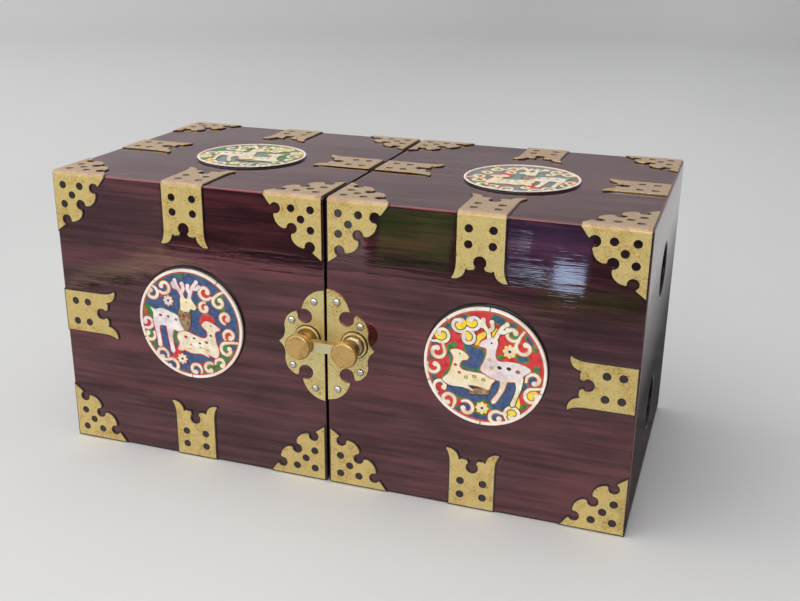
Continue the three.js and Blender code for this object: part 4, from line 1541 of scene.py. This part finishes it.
# %% Meeting
def meeting(tones, mirror=1):
    """A standing stag looking left above a resting doe that looks right, on a red ground."""
    art = Picture(tones, mirror)
    art.lay(ring(0, 0, 26.6, 72), "red")
    basin = blob([
        (-19.4, 5.6), (-16, 3), (-15.6, -2), (-19, -7.6), (-20.6, -11.6), (-17.4, -15.4), (-10, -16.6),
        (-4.4, -18.4), (1.6, -16), (4.4, -20.2), (9.6, -20), (12.4, -15.6), (14.6, -9), (14.4, -4),
        (6, -4), (-4, -2), (-14, 4),
    ])
    art.banked(basin, 1.1)
    glade = blob([
        (-9.6, 9.4), (-4, 8.4), (-0.8, 7.6), (-1.2, 2.4), (-3.8, -1.2), (-9.6, -1), (-11, 1.6),
        (-7.4, 3.8),
    ])
    art.banked(glade, 0.9)
    pond = blob([(-14.6, -23), (-10, -22), (-4, -24.2), (2, -24.6), (6, -26), (-2, -26.6), (-10, -25)])
    art.banked(pond, 1.0)
    for a, b, wide, high, tilt in (
        (-11.4, 22.6, 3, 1.7, 15), (5.6, 24, 2.9, 1.5, -15), (12.4, 22.2, 1.5, 0.9, -20),
        (20.4, 16, 2.2, 1.4, -50), (-25, 7.2, 2.2, 1.5, 50), (-26, 2.2, 1.2, 1.8, 10),
        (-24.9, -9.4, 1.7, 1.7, 0), (17.4, 6.8, 2.4, 1.3, -8), (18.6, -7, 1.4, 2, 0),
        (-17.8, 18, 0.9, 0.9, 0), (-4.6, -21.4, 1.6, 1.2, 0),
    ):
        art.lay(oval(a, b, wide + 0.9, high + 0.9, tilt), "green")
        art.lay(oval(a, b, wide, high, tilt), "slate")
    art.ovals(
        "green", (7.4, 6.2, 1.6, 1.4), (24, 2.2, 1.4, 2.1), (19.4, -17, 2.3, 1.5, 30),
        (-15.8, 8.4, 2.8, 1.5, 35), (22.8, 12, 0.9, 1.8, 10), (16.4, 21.6, 2.2, 1.1, -40),
        (9.6, -25.4, 1.8, 1, 15), (-21.6, -17.4, 1.2, 1.8, 40),
    )
    art.lay(blob([
        (-5, 10.6), (-5, 13.8), (-2.4, 16.4), (0.4, 17.4), (-0.6, 14.6), (-2.4, 13), (-3, 10.8),
    ]), "yellow")
    art.lay(blob([(2.8, 15.4), (3.4, 18.6), (5.2, 19.6), (5, 16.4)], 3), "yellow")
    art.lay(blob([(14.4, -9.6), (16.6, -12.4), (17.4, -17.4), (15.2, -19.2), (14.6, -14)], 3), "yellow")
    art.rim_lines("rust", "red")

    art.curls(
        (-20.8, 13.4, 4.0, -125, 290, "yellow", (-26.2, 9.8), (-24.2, 9.6)),
        (14.2, -21.6, 3.9, -150, -320, "yellow", (12.2, -26)),
        (-20.4, -12.6, 3.7, -108, -270, "red"),
        line="dark",
    )
    art.curls(
        (-22.6, 5.0, 3.7, 42, -310, "red", (-20, 9.4)),
        (-24.0, -3.0, 3.5, 150, 280, "red"),
        (-16.9, -19.0, 3.5, -32, 300, "red", (-15.4, -23.4), (-14.2, -22)),
        (-8.0, -21.8, 3.7, 130, -300, "slate"),
        (6.6, -24.8, 3.6, 60, 300, "slate", (11.6, -22)),
        (23.2, -3.3, 3.6, -160, -280, "slate"),
        (23.0, -11.3, 3.9, 95, 280, "yellow", (27.6, -6.4), (25, -7)),
        (18.0, 12.2, 3.9, 140, 290, "red", (17.8, 20), (15.8, 17)),
        (12.6, 18.0, 3.4, -30, -300, "green"),
    )
    art.curls(
        (-12.6, 19.6, 4.0, -15, -270, "yellow"),
        (-6.2, 21.4, 3.9, -135, 270, "yellow"),
        (-8.6, 13.5, 3.8, 105, -300, "yellow"),
        tone="lavender", line="dark",
    )
    art.flower(11.4, 9.4, 3.0, line="yellow")
    art.flower(-0.4, -20.6, 2.8, line="yellow")

    art.antler([
        [(1.6, 14.4), (1.2, 17.4), (-0.6, 20), (-1.4, 23)],
        [(1, 17.8), (3, 19.6), (2.6, 22.4)],
        [(-0.4, 19.8), (-2.6, 20.4), (-3, 22)],
        [(4.6, 14.6), (6, 18), (8, 21), (9.6, 22.2)],
        [(6.2, 18.2), (8.6, 18.4), (10, 19.6)],
    ], "ivory", "dark")
    near_leg = flowing([(9.2, -3.6), (9, -8), (7.6, -12), (4.8, -16.6)], 4)
    far_leg = flowing([(16.2, -3), (16.4, -8), (15.2, -12.4), (13.8, -16.8)], 4)
    art.figure(ribbon(near_leg, [4.4, 2.4, 1.9, 2.1]), "ivory", "rust")
    art.figure(ribbon(far_leg, [4.6, 2.4, 1.8, 2.2]), "ivory", "dark")
    art.figure(blob([
        (-2.8, 10.2), (-2, 12.2), (0.2, 13.8), (2, 15), (4.8, 14.8), (5.8, 12.8), (5.2, 9.6),
        (4.9, 6.2), (6.6, 4), (11.8, 4.4), (16.8, 4), (21.4, 2), (20.6, 0.2), (18.4, -1.4), (17.2, -4),
        (13.6, -5.2), (8, -5.6), (3.6, -4.8), (0.2, -3), (-1.8, -1), (0, 3.8), (0.9, 8), (0, 9.7),
    ]), "lavender", "rust")
    art.spots([(3.4, 0.2), (2.2, 4.2)], "yellow", "rust")
    art.spots([(7, 0.9), (11.4, 1)], "dark", wide=0.9)
    art.spots([(15.6, 0.1)], "red", "brown", wide=0.95)
    art.spots([(2.9, 12.4)], "dark", wide=0.45)
    art.layer += 0.04
    art.figure(blob([
        (-6.6, -12.4), (-3.4, -11), (1.4, -10.8), (2.6, -13), (-2, -13.8), (-6.4, -14.2),
    ]), "brown", "dark")
    art.figure(blob([
        (-19.8, -9), (-16, -11.4), (-10, -11.4), (-4.6, -12.6), (-8.6, -9.6), (-14, -8.6),
    ]), "ivory", "dark")
    art.figure(blob([
        (-16.4, 6.2), (-13.2, 7.2), (-10.2, 6.4), (-7.6, 4.2), (-8.4, 2.6), (-10.8, 1.8), (-11.8, -1),
        (-9.6, -2.8), (-5, -3.2), (-0.6, -3.4), (2.8, -5), (5.2, -5.4), (3.6, -7.8), (2.4, -10.8),
        (-0.6, -10.2), (-5, -9.6), (-10, -10.2), (-15, -9.4), (-19.8, -8.8), (-17, -5.4), (-15.4, -1),
        (-14.8, 3),
    ]), "cream", "rust")
    art.spots([(-8.6, -6.2), (-4.6, -5.2), (-0.2, -6.2)], "yellow", "dark", wide=0.8)
    art.spots([(-11.8, -4.2), (-13.8, -0.6)], "red", "rust", wide=0.75)
    art.spots([(-11.8, 5.2)], "dark", wide=0.38)
    return art.parts


PALER = {"slate": "teal", "ivory": "cream", "lavender": "ivory"}
pictures = {
    "left_front": walking_and_resting({}),
    "right_front": meeting({}),
    "left_top": meeting({**PALER, "red": "green"}, -1),
    "right_top": walking_and_resting(PALER, -1),
}
print("painted plates:", {key: len(parts) for key, parts in pictures.items()})

# %% [markdown]
# A roundel is put together from its wall, its sunk ground, its picture, the lengths of bone with fine
# gaps between them, and a fillet of lacquer round it. The fillet is near black, wide above the disc and
# narrow below, as painted shade, and the upper flank of the wall is painted near black as shade too.
# `SPREAD` opens the picture out to the rim, and nothing passes `PICTURE_EDGE`.

# %% Roundels
ROUNDEL = 29.6
ROUNDEL_RISE = {"front": 2.4, "top": 1.2}
ROUNDEL_SHIFT = {
    "left_front": (-1.5, 2.2),
    "right_front": (4.5, 2.2),
    "left_top": (-3.5, -5),
    "right_top": (2, -3),
}
RIM_WIDTH = {"front": 1.5, "top": 1.35}
SPREAD = 1.018
PICTURE_EDGE = 28.3
RIM_DEPTH = {"front": 1.3, "top": 0.7}
FIELD_DROP = 0.42
SUNK = 0.06
FILLET = 1.3
RIM_GAP = 0.5
RIM_JOINTS = {
    "left_front": (132, 56, 269, 201),
    "right_front": (131, 87, 341, 268, 201),
    "left_top": (20, 110, 200, 290),
    "right_top": (50, 140, 235, 325),
}


def rim_length(start, end, rise, width, depth):
    """One curved length of bone between two joints, in degrees."""
    steps = max(6, round((end - start) / 4))
    outline = arc(0, 0, ROUNDEL - 0.06, start, end, steps)
    outline += arc(0, 0, ROUNDEL - width, end, start, steps)
    return carried(
        plate(outline, thickness=depth + 0.02, softening=0.3, rim_paint=0),
        lambda a, b, c: Vector((a, b, rise - depth - 0.02 + c)),
    )


def shade_widened_above(a, b, c):
    """Moves the dark fillet round a roundel outwards: wide above it and narrow below, a painted shade above
    the disc.
    """
    reach = math.hypot(a, b)
    if reach > ROUNDEL:
        wanted = ROUNDEL + (reach - ROUNDEL) * (0.35 + 0.75 * max(0, b / reach))
        a, b = a * wanted / reach, b * wanted / reach
    return Vector((a, b, c))


def roundel(key, picture):
    name, face_name = key.split("_")
    side = SIDES[name]
    rise = ROUNDEL_RISE[face_name]
    out_shift, up_shift = ROUNDEL_SHIFT[key]
    out = HALF / 2 + out_shift
    face, mid = (on_front(side), HEIGHT / 2) if face_name == "front" else (on_top(side), DEPTH / 2)

    def place(a, b, c):
        return face(out + side * a, mid + up_shift + b, c)

    field, width, depth = rise - FIELD_DROP, RIM_WIDTH[face_name], RIM_DEPTH[face_name]
    seat, radius = rise - depth, ROUNDEL - 0.02
    body = turned(eased([(0, 0), (radius, 0), (radius, seat), (0, seat)], 0.12, 3, False), 120)
    ground = plate(ring(0, 0, ROUNDEL - width / 2, 96), thickness=field - seat + SUNK, softening=0)
    carried(ground, lambda a, b, c: Vector((a, b, seat - SUNK + c)))
    painted(ground, PAINT_ORDER.index(PALER["slate"] if face_name == "top" else "slate"))

    def laid(a, b, c):
        share = min(SPREAD, PICTURE_EDGE / max(1, math.hypot(a, b)))
        return Vector((a * share, b * share, field - SUNK + c))

    paints = [carried(part, laid) for part in picture]
    joints = sorted(RIM_JOINTS[key])
    gap = math.degrees(RIM_GAP / ROUNDEL) / 2
    lengths = [
        painted(rim_length(start + gap, end - gap, rise, width, depth), PAINT_ORDER.index("bone"))
        for start, end in zip(joints, joints[1:] + [joints[0] + 360])
    ]
    # painted shade: a lacquer fillet round the disc, near black and widest above it
    run = [(ROUNDEL - 0.1, 0)] + [
        (ROUNDEL + FILLET * (1 - math.sin(t)), FILLET * 0.7 * (1 - math.cos(t)))
        for t in (math.pi / 12 * i for i in range(7))
    ] + [(ROUNDEL - 0.1, FILLET * 0.7)]
    fillet = painted(carried(turned(run, 120), shade_widened_above), PAINT_ORDER.index("pool"))
    # painted shade: the upper flank of the wall stays near black, the lower flank takes the case lacquer
    for flank in painted(body, PAINT_ORDER.index("wall")).faces:
        if flank.calc_center_median().y < ROUNDEL * 0.55:
            flank.material_index = PAINT_ORDER.index("side")
    whole = carried(gathered([body, ground, fillet] + paints + lengths), place)
    finishes = list(PAINTS.values())
    piece(f"{key}_roundel_painted", whole, finishes, BODIES[name], [f"{key}_roundel"])


for key, picture in pictures.items():
    roundel(key, picture)
print("roundels:", {name: count for name, count in triangles.items() if "roundel" in name})

# %% Totals
print("pieces:", len(triangles), "triangles:", sum(triangles.values()))
